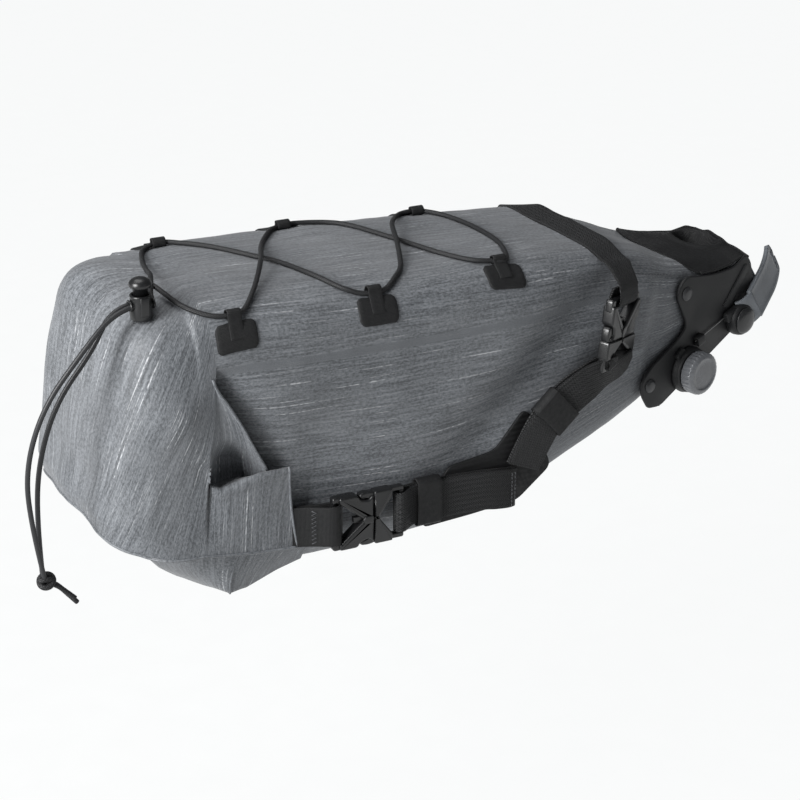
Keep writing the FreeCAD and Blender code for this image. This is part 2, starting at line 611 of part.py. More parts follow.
# ---------------------------------------------------------------- the tightening dial
DIAL = (-80, -35)
GUIDE = (-71.5, -17.4)
PUCK = (-29, -14.6)
base = cylinder("DialBase", "@dial_base_radius", "@dial_base_height")
pocket = cylinder("DialPocket", "@spool_bore", "@dial_base_height", "1.4")
keep(cut("DialBaseCut", base, pocket), "dial_base", on_panel(1, *DIAL, proud + SEAT_GAP))
spool = cylinder("DialSpool", "@spool_radius", "@spool_height", "1.8")
axle = cylinder("DialAxle", "2.4", "9", "1.8")
keep(fuse("SpoolBody", [spool, axle]), "dial_spool", on_panel(1, *DIAL, proud + SEAT_GAP))
knob = cylinder("DialKnob", "@dial_radius", "@dial_height", "Sizes.dial_base_height + 0.4")
knob_bore = cylinder("DialKnobBore", "2.7", "5.6", "Sizes.dial_base_height + 0.2")
grip = DOC.addObject("Part::Fillet", "DialKnobEdge")
knob_cut = cut("DialKnobCut", knob, knob_bore)
DOC.recompute()
rim = [n for n, e in enumerate(knob_cut.Shape.Edges, 1)
       if e.BoundBox.ZMin > size("dial_base_height") + size("dial_height")
       and e.Length > 2 * math.pi * size("dial_radius") * 0.9]
grip.Base = knob_cut
grip.Edges = [(n, 2.2, 2.2) for n in rim]
keep(grip, "dial_knob", on_panel(1, *DIAL, proud + SEAT_GAP))

lace_angle = size("lace_slope")
guide = box("LaceGuide", "6", "6", "3.6", ("-3", "-3", "0"))
guide_hole = box("LaceGuideHole", "11", "2", "1.8", ("-5.5", "-1", "0.4"))
keep(cut("LaceGuideCut", guide, guide_hole), "lace_guide", on_panel(1, *GUIDE, proud + SEAT_GAP, lace_angle))
lace = DOC.addObject("Part::Cylinder", "Lace")
bind(lace, Radius="@lace_radius", Height="@lace_length")
place = on_panel(1, *GUIDE, proud + size("lace_rise"), lace_angle)
turn_x = FreeCAD.Placement(V(-3, 0, 0), FreeCAD.Rotation(V(0, 0, 1), V(1, 0, 0)))
keep(lace, "tightening_lace", place.multiply(turn_x))

puck = cylinder("Puck", "@puck_radius", "@puck_height")
puck_slot = box("PuckSlot", "2 * @puck_radius + 3", "2.4", "2.4",
                ("-2 * @puck_radius", "@lace_offset - 1.2", "-0.4"))
keep(cut("PuckCut", puck, puck_slot), "strap_puck", on_panel(1, *PUCK, proud + 0.3, lace_angle))
keep(cylinder("PuckCap", "@puck_cap_radius", "@puck_cap_height"), "puck_cap",
     on_panel(1, *PUCK, proud + 0.3 + size("puck_height"), lace_angle))

# The rubber strap in the post's own frame: forwards and sideways distances from its axis.
STRAP = [(-18.3, -37.1), (-12, -33.6), (1.8, -23.8), (13.2, -13.4), (18, -4), (18.8, 4)]
band = ribbon(STRAP, size("post_strap_thick"), size("post_strap_width"), (V(1, 0, 0), V(0, 1, 0)))
catch = Part.makeBox(6, 3, 13, V(15.5, -1.5, -6.5))
solid("post_strap", band.cut(catch), POST)

# On the left the strap's slot hooks over this stud.
stud = cylinder("StudPost", "@stud_radius", "@stud_height")
stud_head = cylinder("StudHead", "@stud_radius + 1.8", "1.8", "Sizes.stud_height")
keep(fuse("Stud", [stud, stud_head]), "strap_stud", on_panel(-1, -27, -6, proud + SEAT_GAP))

# ---------------------------------------------------------------- checks and files
DOC.recompute()
bad = [o.Label for o in DOC.Objects if "Invalid" in o.State or "Error" in o.State]
bad += [o.Label for o in NODES if o.Shape.isNull() or not o.Shape.isValid()]
if bad:
    raise SystemExit(f"not built: {bad}")
names = [o.Label for o in NODES]
if len(set(names)) != len(names):
    raise SystemExit("two sub-parts share a name")
for obj in NODES:
    obj.Shape.exportStep(f"parts/{obj.Label}.step")
whole = FreeCAD.BoundBox()
for obj in NODES:
    whole.add(obj.Shape.BoundBox)
print(len(NODES), "sub-parts;", whole)
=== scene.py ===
import json
import math

import bpy
import numpy as np
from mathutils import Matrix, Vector, noise
from mathutils.bvhtree import BVHTree


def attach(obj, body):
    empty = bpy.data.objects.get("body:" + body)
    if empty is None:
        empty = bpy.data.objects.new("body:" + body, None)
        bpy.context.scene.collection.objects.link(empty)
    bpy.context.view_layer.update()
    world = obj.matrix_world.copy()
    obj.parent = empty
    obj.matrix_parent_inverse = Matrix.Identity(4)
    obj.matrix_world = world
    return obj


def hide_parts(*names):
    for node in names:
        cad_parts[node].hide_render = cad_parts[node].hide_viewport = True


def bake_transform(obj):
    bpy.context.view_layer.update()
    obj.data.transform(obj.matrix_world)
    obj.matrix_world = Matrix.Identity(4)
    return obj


# Saddle bag, in the part's frame: +X forwards to the seatpost, -Y to the rider's right, +Z up.
# Lengths are in millimetres up to the point where a mesh is made.

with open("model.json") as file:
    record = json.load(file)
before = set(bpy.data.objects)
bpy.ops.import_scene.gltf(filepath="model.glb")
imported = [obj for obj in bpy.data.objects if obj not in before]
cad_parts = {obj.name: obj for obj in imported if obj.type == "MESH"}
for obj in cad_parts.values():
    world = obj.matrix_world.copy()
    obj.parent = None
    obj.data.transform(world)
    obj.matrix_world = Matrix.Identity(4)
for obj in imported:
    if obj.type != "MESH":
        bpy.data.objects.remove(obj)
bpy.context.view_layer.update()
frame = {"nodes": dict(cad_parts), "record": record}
MM = 0.001
BACK_SHIFT = 40.0  # sets the weave of a webbing's back apart from its front's
CORD_RADIUS = 1.5
WEB_WIDTH = 25.0


def V(*p):
    return np.array(p, float)


def unit(v):
    v = np.asarray(v, float)
    return v / (np.linalg.norm(v) + 1e-12)


def smooth(a, b, x):
    """Rises from 0 at a to 1 at b, with level ends."""
    t = min(1.0, max(0.0, (x - a) / (b - a)))
    return t * t * (3 - 2 * t)


# ---------------------------------------------------------------- materials


class Nodes:
    """A material's node tree, with short calls to add and join nodes."""

    def __init__(self, name):
        self.mat = bpy.data.materials.new(name)
        self.mat.use_nodes = True
        self.tree = self.mat.node_tree
        self.bsdf = self.tree.nodes["Principled BSDF"]

    def add(self, kind, inputs=None, **props):
        node = self.tree.nodes.new("ShaderNode" + kind)
        for key, value in props.items():
            setattr(node, key, value)
        for key, value in (inputs or {}).items():
            self.feed(node.inputs[key], value)
        return node

    def feed(self, socket, value):
        if isinstance(value, bpy.types.NodeSocket):
            self.tree.links.new(value, socket)
        else:
            socket.default_value = value

    def set(self, **inputs):
        for key, value in inputs.items():
            self.feed(self.bsdf.inputs[key.replace("_", " ")], value)

    def math(self, operation, a, b=0.0, clamp=False):
        node = self.add("Math", operation=operation, use_clamp=clamp)
        self.feed(node.inputs[0], a)
        self.feed(node.inputs[1], b)
        return node.outputs[0]

    def product(self, a, b, clamp=False):
        return self.math("MULTIPLY", a, b, clamp)

    def total(self, a, b):
        return self.math("ADD", a, b)

    def zigzag(self, value):
        """Falls and rises between 0.5 and 0 over each whole step of the value."""
        return self.math("ABSOLUTE", self.math("SUBTRACT", self.math("FRACT", value), 0.5))

    def uv(self, scale=(1, 1, 1)):
        coord = self.add("UVMap", uv_map="cloth")
        return self.add("Mapping", {"Vector": coord.outputs[0], "Scale": scale}).outputs[0]

    def place(self):
        return self.add("Mapping", {"Vector": self.add("TexCoord").outputs["Object"]}).outputs[0]

    def noise(self, vector, scale, detail=2.0, rough=0.5):
        node = self.add("TexNoise", {"Vector": vector, "Scale": scale, "Detail": detail, "Roughness": rough})
        return node.outputs["Fac"]

    def ramp(self, fac, low, high, a=0.0, b=1.0):
        node = self.add("MapRange", {"Value": fac, "From Min": low, "From Max": high, "To Min": a, "To Max": b})
        return node.outputs[0]

    def mix(self, fac, a, b):
        node = self.add("Mix", data_type="RGBA")
        self.feed(node.inputs[0], fac)
        self.feed(node.inputs[6], a)
        self.feed(node.inputs[7], b)
        return node.outputs[2]

    def bump(self, height, distance, strength):
        return self.add("Bump", {"Height": height, "Distance": distance, "Strength": strength}).outputs[0]


def grey(value, tint=(1.0, 1.0, 1.0)):
    return (value * tint[0], value * tint[1], value * tint[2], 1.0)


def fabric_material():
    """Blue-grey mottled weave with sparse white slubs that run along the cloth's length."""
    n = Nodes("bag_fabric")
    fine = n.noise(n.uv((1, 0.5, 1)), 900, 3.0, 0.75)
    thread = n.noise(n.uv((1, 0.045, 1)), 620, 3.0, 0.7)
    cloud = n.noise(n.uv((1, 0.5, 1)), 26, 2.0, 0.5)
    tone = n.total(n.product(fine, 0.55), n.product(thread, 0.45))
    shade = n.ramp(tone, 0.41, 0.6)
    dark, light = grey(0.045, (0.9, 1.0, 1.13)), grey(0.17, (0.94, 1.0, 1.08))
    base = n.mix(shade, dark, light)
    base = n.mix(n.ramp(cloud, 0.35, 0.7, 0.0, 0.25), base, grey(0.15, (0.97, 1.0, 1.05)))
    streak = n.noise(n.uv((1, 0.02, 1)), 900, 0.0)
    broken = n.noise(n.uv((1, 0.5, 1)), 650, 1.0)
    spread = n.noise(n.uv((1, 0.25, 1)), 55, 1.0)
    slub = n.product(n.ramp(streak, 0.70, 0.77), n.ramp(broken, 0.36, 0.6))
    slub = n.product(slub, n.ramp(spread, 0.38, 0.55), clamp=True)
    n.set(Base_Color=n.mix(n.product(slub, 0.6), base, grey(0.55, (0.98, 1.0, 1.03))))
    weave = n.total(n.product(fine, 0.6), n.product(thread, 0.4))
    n.set(Normal=n.bump(weave, 0.00035, 0.55), Roughness=n.ramp(fine, 0.3, 0.7, 0.52, 0.7))
    n.set(Sheen_Weight=0.1, Sheen_Roughness=0.5, Specular_IOR_Level=0.45)
    return n.mat


def cloth_material(name, value, tint, pitch):
    """Plain dark cloth with a fine crossed weave."""
    n = Nodes(name)
    warp, weft = (
        n.add("TexWave", {"Vector": n.uv(), "Scale": scale, "Distortion": 0.6, "Detail": 1.0},
              bands_direction=way)
        for scale, way in ((pitch, "X"), (pitch * 0.8, "Y")))
    cross = n.product(warp.outputs["Fac"], weft.outputs["Fac"])
    mottle = n.noise(n.uv(), 400, 3.0)
    colour = n.mix(n.ramp(n.total(cross, mottle), 0.4, 1.2), grey(value * 0.6, tint), grey(value * 1.35, tint))
    n.set(Base_Color=colour, Normal=n.bump(cross, 0.0004, 0.5), Roughness=n.ramp(mottle, 0.3, 0.7, 0.5, 0.75),
          Specular_IOR_Level=0.3)
    return n.mat


def webbing_material():
    """Black webbing: ribs across it and fine chevrons along it."""
    n = Nodes("webbing")
    flat = n.uv()
    parts = n.add("SeparateXYZ", {"Vector": flat})
    u, v = parts.outputs[0], parts.outputs[1]
    fold = n.zigzag(n.product(u, 320.0))
    ribs = n.zigzag(n.total(n.product(v, 640.0), n.product(fold, 3.0)))
    mottle = n.noise(flat, 900, 2.0)
    shade = n.total(n.product(ribs, 1.1), n.product(mottle, 0.6))
    colour = n.mix(n.ramp(shade, 0.4, 0.8), grey(0.002, (1, 1.02, 1.06)), grey(0.04, (1, 1.02, 1.06)))
    n.set(Base_Color=colour, Normal=n.bump(shade, 0.0008, 0.9), Roughness=n.ramp(mottle, 0.3, 0.7, 0.5, 0.75))
    n.set(Specular_IOR_Level=0.22)
    return n.mat


def plastic_material(name, value, tint, rough, grain=900.0, depth=0.00006, gloss=0.5):
    """Moulded polymer with a fine grain and slightly uneven gloss."""
    n = Nodes(name)
    space = n.place()
    fine = n.noise(space, grain, 3.0, 0.6)
    wear = n.noise(space, 60.0, 4.0, 0.6)
    colour = n.mix(n.ramp(wear, 0.35, 0.75), grey(value, tint), grey(value * 1.5, tint))
    n.set(Base_Color=colour, Roughness=n.ramp(wear, 0.3, 0.7, rough, rough + 0.14),
          Normal=n.bump(fine, depth, 0.6), Specular_IOR_Level=gloss)
    return n.mat


def cord_material():
    """Braided sheath: two sets of threads that cross round the cord."""
    n = Nodes("cord")
    parts = n.add("SeparateXYZ", {"Vector": n.uv()})
    u, v = n.product(parts.outputs[0], 850.0), n.product(parts.outputs[1], 620.0)
    braid = n.math("MAXIMUM", n.zigzag(n.total(u, v)), n.zigzag(n.math("SUBTRACT", u, v)))
    colour = n.mix(n.ramp(braid, 0.25, 0.5), grey(0.005, (1, 1.03, 1.1)), grey(0.022, (1, 1.03, 1.1)))
    n.set(Base_Color=colour, Normal=n.bump(braid, 0.0004, 0.8), Roughness=n.ramp(braid, 0.2, 0.5, 0.6, 0.42),
          Specular_IOR_Level=0.3)
    return n.mat


def metal_material():
    """Fine steel wire, dull and slightly uneven."""
    n = Nodes("lace_steel")
    space = n.place()
    grain = n.noise(space, 1800, 2.0)
    n.set(Base_Color=n.mix(grain, grey(0.16), grey(0.32)), Roughness=n.ramp(grain, 0.3, 0.7, 0.3, 0.5),
          Metallic=1.0, Normal=n.bump(grain, 0.0001, 0.5))
    return n.mat


COOL = (0.96, 1.0, 1.08)
MAT = {
    "bag_fabric": fabric_material(),
    "black_fabric": cloth_material("black_fabric", 0.007, COOL, 520),
    "webbing": webbing_material(),
    "cord": cord_material(),
    "buckle_plastic": plastic_material("buckle_plastic", 0.006, COOL, 0.24),
    "dial_plastic": plastic_material("dial_plastic", 0.095, COOL, 0.2, 300.0, 0.00001, 0.6),
    "panel_plastic": plastic_material("panel_plastic", 0.009, COOL, 0.44, 1200.0, 0.0001, 0.3),
    "strap_rubber": plastic_material("strap_rubber", 0.12, (0.92, 1.0, 1.1), 0.36, 700.0, 0.00004),
    "rivet_plastic": plastic_material("rivet_plastic", 0.02, COOL, 0.35),
    "lace_steel": metal_material(),
    "dark_cap": plastic_material("dark_cap", 0.012, COOL, 0.25, 300.0, 0.00001, 0.5),
    "thread": plastic_material("thread", 0.05, COOL, 0.6),
    "stiffener_plastic": plastic_material("stiffener_plastic", 0.4, (1, 1, 1), 0.4),
}
MAT["spring_steel"] = MAT["lace_steel"]
for sub in frame["record"]["subparts"]:
    node = frame["nodes"][sub["node"]]
    node.data.materials.clear()
    node.data.materials.append(MAT[sub["material_slot"]])

# ---------------------------------------------------------------- mesh helpers


def linked(name, data):
    obj = bpy.data.objects.new(name, data)
    bpy.context.scene.collection.objects.link(obj)
    return obj


def piece(name, verts, faces, slot, body, node, uv, normals=None):
    """A mesh from millimetre points. uv gives one pair in millimetres for each vertex."""
    mesh = bpy.data.meshes.new(name)
    mesh.from_pydata([[c * MM for c in p] for p in verts], [], [list(f) for f in faces])
    mesh.update()
    layer = mesh.uv_layers.new(name="cloth")
    source = np.asarray(uv, float) * MM
    index = np.empty(len(mesh.loops), np.int32)
    mesh.loops.foreach_get("vertex_index", index)
    layer.data.foreach_set("uv", source[index].ravel())
    mesh.polygons.foreach_set("use_smooth", [True] * len(mesh.polygons))
    mesh.materials.append(MAT[slot])
    obj = linked(name, mesh)
    if normals is not None:
        mesh.normals_split_custom_set_from_vertices([list(v) for v in normals])
    if body:
        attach(obj, body)
    if node:
        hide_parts(*([node] if isinstance(node, str) else node))
    return obj


class Build:
    """Gathers parts of one piece: vertices, faces and flat coordinates."""

    def __init__(self):
        self.v, self.f, self.t = [], [], []

    def add(self, verts, faces, uv=None):
        k = len(self.v)
        self.v += [tuple(map(float, p)) for p in verts]
        self.f += [tuple(i + k for i in f) for f in faces]
        if uv is None:
            uv = [(p[0] + 0.37 * p[1], p[2] + 0.21 * p[1]) for p in verts]
        self.t += [tuple(map(float, q)) for q in uv]
        return self

    def moved(self, place):
        base, x, y, z = place
        self.v = [tuple(base + x * p[0] + y * p[1] + z * p[2]) for p in self.v]
        return self

    def merge(self, other):
        return self.add(other.v, other.f, other.t)

    def make(self, name, slot, body, node=()):
        return piece(name, self.v, self.f, slot, body, node, self.t)


def quads(rows, cols, wrap=False, flip=False):
    faces = []
    for i in range(rows - 1):
        for j in range(cols if wrap else cols - 1):
            k = (j + 1) % cols
            q = (i * cols + j, i * cols + k, (i + 1) * cols + k, (i + 1) * cols + j)
            faces.append(q[::-1] if flip else q)
    return faces


def closed_skin(rows, ring, caps=True):
    """Faces round rows of ring points each, with an end face on the first and the last row."""
    ends = [tuple(range(ring))[::-1], tuple(range((rows - 1) * ring, rows * ring))]
    return quads(rows, ring, wrap=True) + (ends if caps else [])


def catmull(points, step=2.0, closed=False):
    """A smooth line through the points, sampled about every step millimetres."""
    pts = [np.asarray(p, float) for p in points]
    if closed:
        ring = [pts[-1]] + pts + pts[:2]
    else:
        ring = [2 * pts[0] - pts[1]] + pts + [2 * pts[-1] - pts[-2]]
    out = []
    for a, b, c, d in zip(ring, ring[1:], ring[2:], ring[3:]):
        n = max(2, int(np.linalg.norm(c - b) / step))
        for k in range(n):
            t = k / n
            out.append(0.5 * (2 * b + (c - a) * t + (2 * a - 5 * b + 4 * c - d) * t ** 2
                              + (3 * b - a - 3 * c + d) * t ** 3))
    if not closed:
        out.append(pts[-1])
    return np.array(out)


def run_lengths(path):
    return np.concatenate([[0], np.cumsum(np.linalg.norm(np.diff(path, axis=0), axis=1))])


def point_at(line, lengths, s):
    """The point at s on a line whose points lie at the given lengths."""
    return np.array([np.interp(s, lengths, line[:, k]) for k in range(3)])


def tangents(path):
    along = np.gradient(path, axis=0)
    return along / np.linalg.norm(along, axis=1)[:, None]


def tube(path, radius, sides=14, caps=True):
    """A round cord along a line, with a frame carried along so that it doesn't twist."""
    path = np.asarray(path, float)
    tangent = tangents(path)
    side = np.cross(tangent[0], (0.3, 0.5, 0.9))
    verts, uv = [], []
    for p, t, s in zip(path, tangent, run_lengths(path)):
        side = unit(side - t * np.dot(side, t))
        other = np.cross(t, side)
        for k in range(sides):
            a = 2 * math.pi * k / sides
            verts.append(p + radius * (side * math.cos(a) + other * math.sin(a)))
            uv.append((min(a, 2 * math.pi - a) * radius, s))
    return Build().add(verts, closed_skin(len(path), sides, caps), uv)


def belt(path, across, width, thick, edge=0.5, cells=8):
    """Flat webbing along a line. across is the direction of its width at each point, or one for all."""
    path = np.asarray(path, float)
    across = np.broadcast_to(np.asarray(across, float), path.shape)
    half, t = width / 2, thick / 2
    top = [(x, t) for x in np.linspace(-half + edge, half - edge, cells)]
    top += [(half - edge * 0.3, t * 0.8), (half, 0), (half - edge * 0.3, -t * 0.8)]
    profile = top + [(-x, -y) for x, y in top]
    verts, uv = [], []
    for p, w, d, s in zip(path, across, tangents(path), run_lengths(path)):
        w = unit(w - d * np.dot(w, d))
        up = np.cross(d, w)
        for a, b in profile:
            verts.append(p + w * a + up * b)
            uv.append((a + (0 if b >= 0 else BACK_SHIFT), s))
    return Build().add(verts, closed_skin(len(path), len(profile)), uv)


def rounded(outline, radius, steps=4):
    """The outline with its corners rounded. A corner may give its own radius as a third number."""
    out, n = [], len(outline)
    for i in range(n):
        p = V(*outline[i][:2])
        r = outline[i][2] if len(outline[i]) > 2 else radius
        a, b = V(*outline[i - 1][:2]) - p, V(*outline[(i + 1) % n][:2]) - p
        la, lb = np.linalg.norm(a), np.linalg.norm(b)
        reach = min(r, 0.45 * la, 0.45 * lb)
        if reach < 0.02:
            out.append(p)
            continue
        s, e = p + a / la * reach, p + b / lb * reach
        for k in range(steps + 1):
            t = k / steps
            out.append((1 - t) ** 2 * s + 2 * t * (1 - t) * p + t ** 2 * e)
    return out


def slab(outline, low, high, bevel=0.6, steps=3):
    """A flat piece with rounded rims: outline in its own x and y, between two heights."""
    pts = np.array([V(*p[:2]) for p in outline])
    area = 0.5 * np.sum(pts[:, 0] * np.roll(pts[:, 1], -1) - np.roll(pts[:, 0], -1) * pts[:, 1])
    if area < 0:
        pts = pts[::-1]
    n = len(pts)
    fore = np.roll(pts, -1, 0) - pts
    fore /= np.linalg.norm(fore, axis=1)[:, None] + 1e-9
    back = np.roll(fore, 1, 0)
    normal = np.stack([-(fore[:, 1] + back[:, 1]), fore[:, 0] + back[:, 0]], 1)
    normal /= np.linalg.norm(normal, axis=1)[:, None] + 1e-9
    rings = [(low + bevel * (1 - math.sin(a)), bevel * (1 - math.cos(a)))
             for a in (math.pi / 2 * (1 - k / steps) for k in range(steps + 1))]
    rings += [(high - (z - low), inset) for z, inset in rings[::-1]]
    verts = [(*(pts[i] + normal[i] * inset), z) for z, inset in rings for i in range(n)]
    return Build().add(verts, closed_skin(len(rings), n))


def block(x0, x1, y0, y1, z0, z1, bevel=0.5, corner=0.6):
    return slab(rounded([(x0, y0), (x1, y0), (x1, y1), (x0, y1)], corner, 3), z0, z1, bevel, 2)


def turned(profile, sides=64, ripple=None):
    """A round piece from its profile of radius and height. ripple changes the radius with the angle."""
    verts = []
    for r, z in profile:
        for k in range(sides):
            a = 2 * math.pi * k / sides
            q = r * (ripple(a, z) if ripple else 1.0)
            verts.append((q * math.cos(a), q * math.sin(a), z))
    return Build().add(verts, closed_skin(len(profile), sides))


def mirrored(build):
    """The build and its mirror image in y."""
    twin = Build().add([(x, -y, z) for x, y, z in build.v], [f[::-1] for f in build.f], build.t)
    return Build().merge(build).merge(twin)


def seat(side, x, y, z, plan=0.0, turn=0.0):
    """A place on the bag's side as base, x, y and z axes: z outwards, y up before it is turned."""
    a = math.radians(plan)
    along = V(side * math.cos(a), math.sin(a), 0)
    out = V(math.sin(a), -side * math.cos(a), 0)
    up = np.cross(out, along)
    c, s = math.cos(math.radians(turn)), math.sin(math.radians(turn))
    return V(x, -side * y, z), along * c + up * s, up * c - along * s, out


def stitches(line, out, length=2.2, gap=1.1, radius=0.28):
    """A row of short raised threads along a line."""
    path = catmull(line, 0.5)
    lengths = run_lengths(path)
    build, s = Build(), 0.0
    out = unit(out)
    while s + length < lengths[-1]:
        cells = []
        for k in range(5):
            p = point_at(path, lengths, s + length * k / 4)
            cells.append(p + out * (0.32 * math.sin(math.pi * k / 4) - 0.05))
        build.merge(tube(cells, radius, 6))
        s += length + gap
    return build


# ---------------------------------------------------------------- the bag's body
STATIONS = np.array([
    (-440, 73.5, 60.5, -102), (-395, 76.5, 65.0, -107), (-345, 77.5, 63.5, -109),
    (-285, 77.5, 62.0, -109), (-217, 73.3, 59.5, -100), (-165, 66.0, 55.5, -81),
    (-120, 57.0, 47.0, -61), (-92, 49.0, 36.5, -46), (-62, 40.4, 29.5, -29), (-48, 35.5, 26.5, -20),
])
CROWN_POWER, BELLY_POWER, WIDEST = 6.0, 4.0, 0.45


def spline(xs, ys, x):
    """Smooth values through the stations, without overshoot at the ends."""
    slopes = np.gradient(ys, xs)
    i = np.clip(np.searchsorted(xs, x) - 1, 0, len(xs) - 2)
    h = xs[i + 1] - xs[i]
    t = np.clip((x - xs[i]) / h, 0, 1)
    return ((2 * t ** 3 - 3 * t ** 2 + 1) * ys[i] + (t ** 3 - 2 * t ** 2 + t) * h * slopes[i]
            + (3 * t ** 2 - 2 * t ** 3) * ys[i + 1] + (t ** 3 - t ** 2) * h * slopes[i + 1])


SECTIONS = {}


def station(x):
    key = round(float(x), 3)
    if key not in SECTIONS:
        half, top, low = (float(spline(STATIONS[:, 0], STATIONS[:, k], x)) for k in (1, 2, 3))
        SECTIONS[key] = (half, top, low, low + WIDEST * (top - low))
    return SECTIONS[key]


def crown(x, y):
    half, top, low, middle = station(x)
    return middle + (top - middle) * (1 - min(1.0, abs(y) / half) ** CROWN_POWER) ** (1 / CROWN_POWER)


def ring_point(x, a):
    """A point of the section at x. a runs from the near side over the crown to the far side."""
    half, top, low, middle = station(x)
    c, s = math.cos(a), math.sin(a)
    power = CROWN_POWER if s > 0 else BELLY_POWER
    scale = (abs(c) ** power + abs(s) ** power) ** (-1 / power)
    z = middle + s * scale * ((top - middle) if s > 0 else (middle - low))
    return V(x, -half * c * scale, z)


def spaced_angles(x, start, end, count):
    """Angles that lie evenly along the section's outline at x."""
    fine = np.linspace(start, end, 1500)
    pts = np.array([ring_point(x, a) for a in fine])
    return np.interp(np.linspace(0, 1, count), run_lengths(pts) / run_lengths(pts)[-1], fine)


APEX_Z = 31.0
JOIN_X = -407.0
half, top, low, middle = station(JOIN_X)
share = (APEX_Z - middle) / (top - middle)
APEX_ANGLE = math.atan2(share, (1 - share ** CROWN_POWER) ** (1 / CROWN_POWER))
UPPER, LOWER = 97, 88
upper_angles = spaced_angles(-300.0, APEX_ANGLE, math.pi - APEX_ANGLE, UPPER)
lower_angles = spaced_angles(-300.0, math.pi - APEX_ANGLE, 2 * math.pi + APEX_ANGLE, LOWER)
angles = list(upper_angles) + list(lower_angles[1:-1])

# The edge of the hood's folded gusset on each side, as height and x.
GUSSET = np.array([(-120, -372), (-50, -374), (-31.3, -381.3), (-18.8, -387.5), (-5.1, -393.7),
                   (8.6, -401), (19.7, -407), (31.3, -410)])


def hash_noise(p, scale, seed=0.0):
    return noise.noise(Vector((p[0] * scale + seed, p[1] * scale, p[2] * scale)))


def ridge(p, a, b, width, height, taper=0.25):
    """A soft fold along the line from a to b, both given as x and z."""
    a, b, q = V(*a), V(*b), V(p[0], p[2])
    d = b - a
    t = np.dot(q - a, d) / np.dot(d, d)
    off = abs(np.cross(d, q - a)) / np.linalg.norm(d)
    ends = smooth(-taper, taper, t) * (1 - smooth(1 - taper, 1 + taper, t))
    return height * math.exp(-(off / width) ** 2) * ends


def body_relief(p):
    """How far the cloth stands out from its plain form at a point."""
    x, y, z = p
    side = smooth(25, 60, abs(y)) * (1 - smooth(34, 52, z))
    mirror = 1.0 if y < 0 else 0.8
    folds = ridge(p, (-150, 36), (-262, -60), 15, 4.6) - ridge(p, (-128, 26), (-232, -62), 17, 2.6)
    folds += ridge(p, (-240, 20), (-350, -20), 26, 1.6) - ridge(p, (-196, 24), (-290, -40), 15, 1.6)
    folds += ridge(p, (-103, 30), (-110, -20), 4.5, 1.7) - ridge(p, (-113, 30), (-120, -20), 4.5, 1.5)
    folds += ridge(p, (-124, 32), (-134, -28), 5, 1.5)
    folds += ridge(p, (-380, 5), (-330, -60), 22, 1.5)
    total = folds * side * mirror
    on_top = smooth(40, 55, z)
    strap = math.exp(-((x + 146) / 17) ** 2)
    total -= 1.2 * strap * on_top
    shoulder = smooth(20, 45, z) * (1 - smooth(52, 58, z))
    total += shoulder * 1.2 * hash_noise(p, 0.03, 7)
    total += 1.5 * hash_noise(p, 0.014, 3) + 0.7 * hash_noise(p, 0.034, 11) + 0.22 * hash_noise(p, 0.11, 5)
    near_nose = smooth(-120, -70, x)
    total += near_nose * 0.7 * hash_noise(V(x * 2.2, y, z * 0.7), 0.05, 2)
    return total


XS = np.concatenate([np.linspace(-428, -360, 42), np.linspace(-357.5, -48, 118)])
XS[np.argmin(abs(XS - JOIN_X))] = JOIN_X
ring = len(angles)
TUBE = np.zeros((len(XS), ring, 3))
for i, x in enumerate(XS):
    for j, a in enumerate(angles):
        p = ring_point(x, a)
        if p[2] < APEX_Z + 12 and x < -340:
            # The side is drawn in where the hood's gusset lies over it.
            lead = x - float(np.interp(p[2], GUSSET[:, 0], GUSSET[:, 1]))
            dip = 10 * max(0.0, 1 - lead / 30) ** 2 if lead > 0 else 10 + 1.3 * -lead
            fade = float(1 - smooth(APEX_Z - 10, APEX_Z + 1, p[2])) * smooth(20, 60, abs(p[1]))
            p[1] -= math.copysign(min(dip, 46) * fade, p[1])
        TUBE[i, j] = p
join_row = int(np.argmin(abs(XS - JOIN_X)))

# ---------------------------------------------------------------- the hood at the rear
CORE = V(-417, 0, -29)
REAR = np.array([(-125, 44), (-80, 51), (-56, 57.7), (-27, 55), (5, 49), (37, 43.5), (75, 42)])


def hood_value(p):
    """Below 1 inside the hood and above 1 outside it, for an array of points."""
    half, top, low, middle = station(JOIN_X)
    x, y, z = p[..., 0], abs(p[..., 1]), p[..., 2]
    wide = half + np.interp(z, (-60, -20, 25), (4.2, 3.0, 0.0))
    back = np.interp(z, REAR[:, 0], REAR[:, 1])
    total = np.where(x < CORE[0], (y / wide) ** 4.6, (y / wide) ** CROWN_POWER)
    total = total + (np.maximum(0, CORE[0] - x) / back) ** 3.4
    return total + (np.maximum(0, z - middle) / (top - middle)) ** CROWN_POWER


def on_hood(directions):
    """Where rays from the hood's core meet its surface."""
    near, far = np.full(len(directions), 10.0), np.full(len(directions), 200.0)
    for _ in range(30):
        mid = (near + far) / 2
        inside = hood_value(CORE + directions * mid[:, None]) < 1
        near, far = np.where(inside, mid, near), np.where(inside, far, mid)
    return CORE + directions * near[:, None]


def turn_between(a, b, t):
    a, b = unit(a), unit(b)
    w = math.acos(max(-1, min(1, float(np.dot(a, b)))))
    return unit((a * math.sin((1 - t) * w) + b * math.sin(t * w)) / math.sin(w))


def fold_shape(a):
    s, c = math.sin(a), math.cos(a)
    y = 81.0 * math.copysign(abs(s) ** (2 / 4.2), s)
    z = float(np.interp(abs(y), (0, 50, 74, 81), (-62, -68, -75, -80)))
    return V(-419 - 51 * abs(c) ** (2 / 3.4), y, z)


FOLD_EDGE = np.array([fold_shape(a) for a in np.linspace(-math.pi / 2, math.pi / 2, 1201)])
FOLD_RUN = run_lengths(FOLD_EDGE) / run_lengths(FOLD_EDGE)[-1]


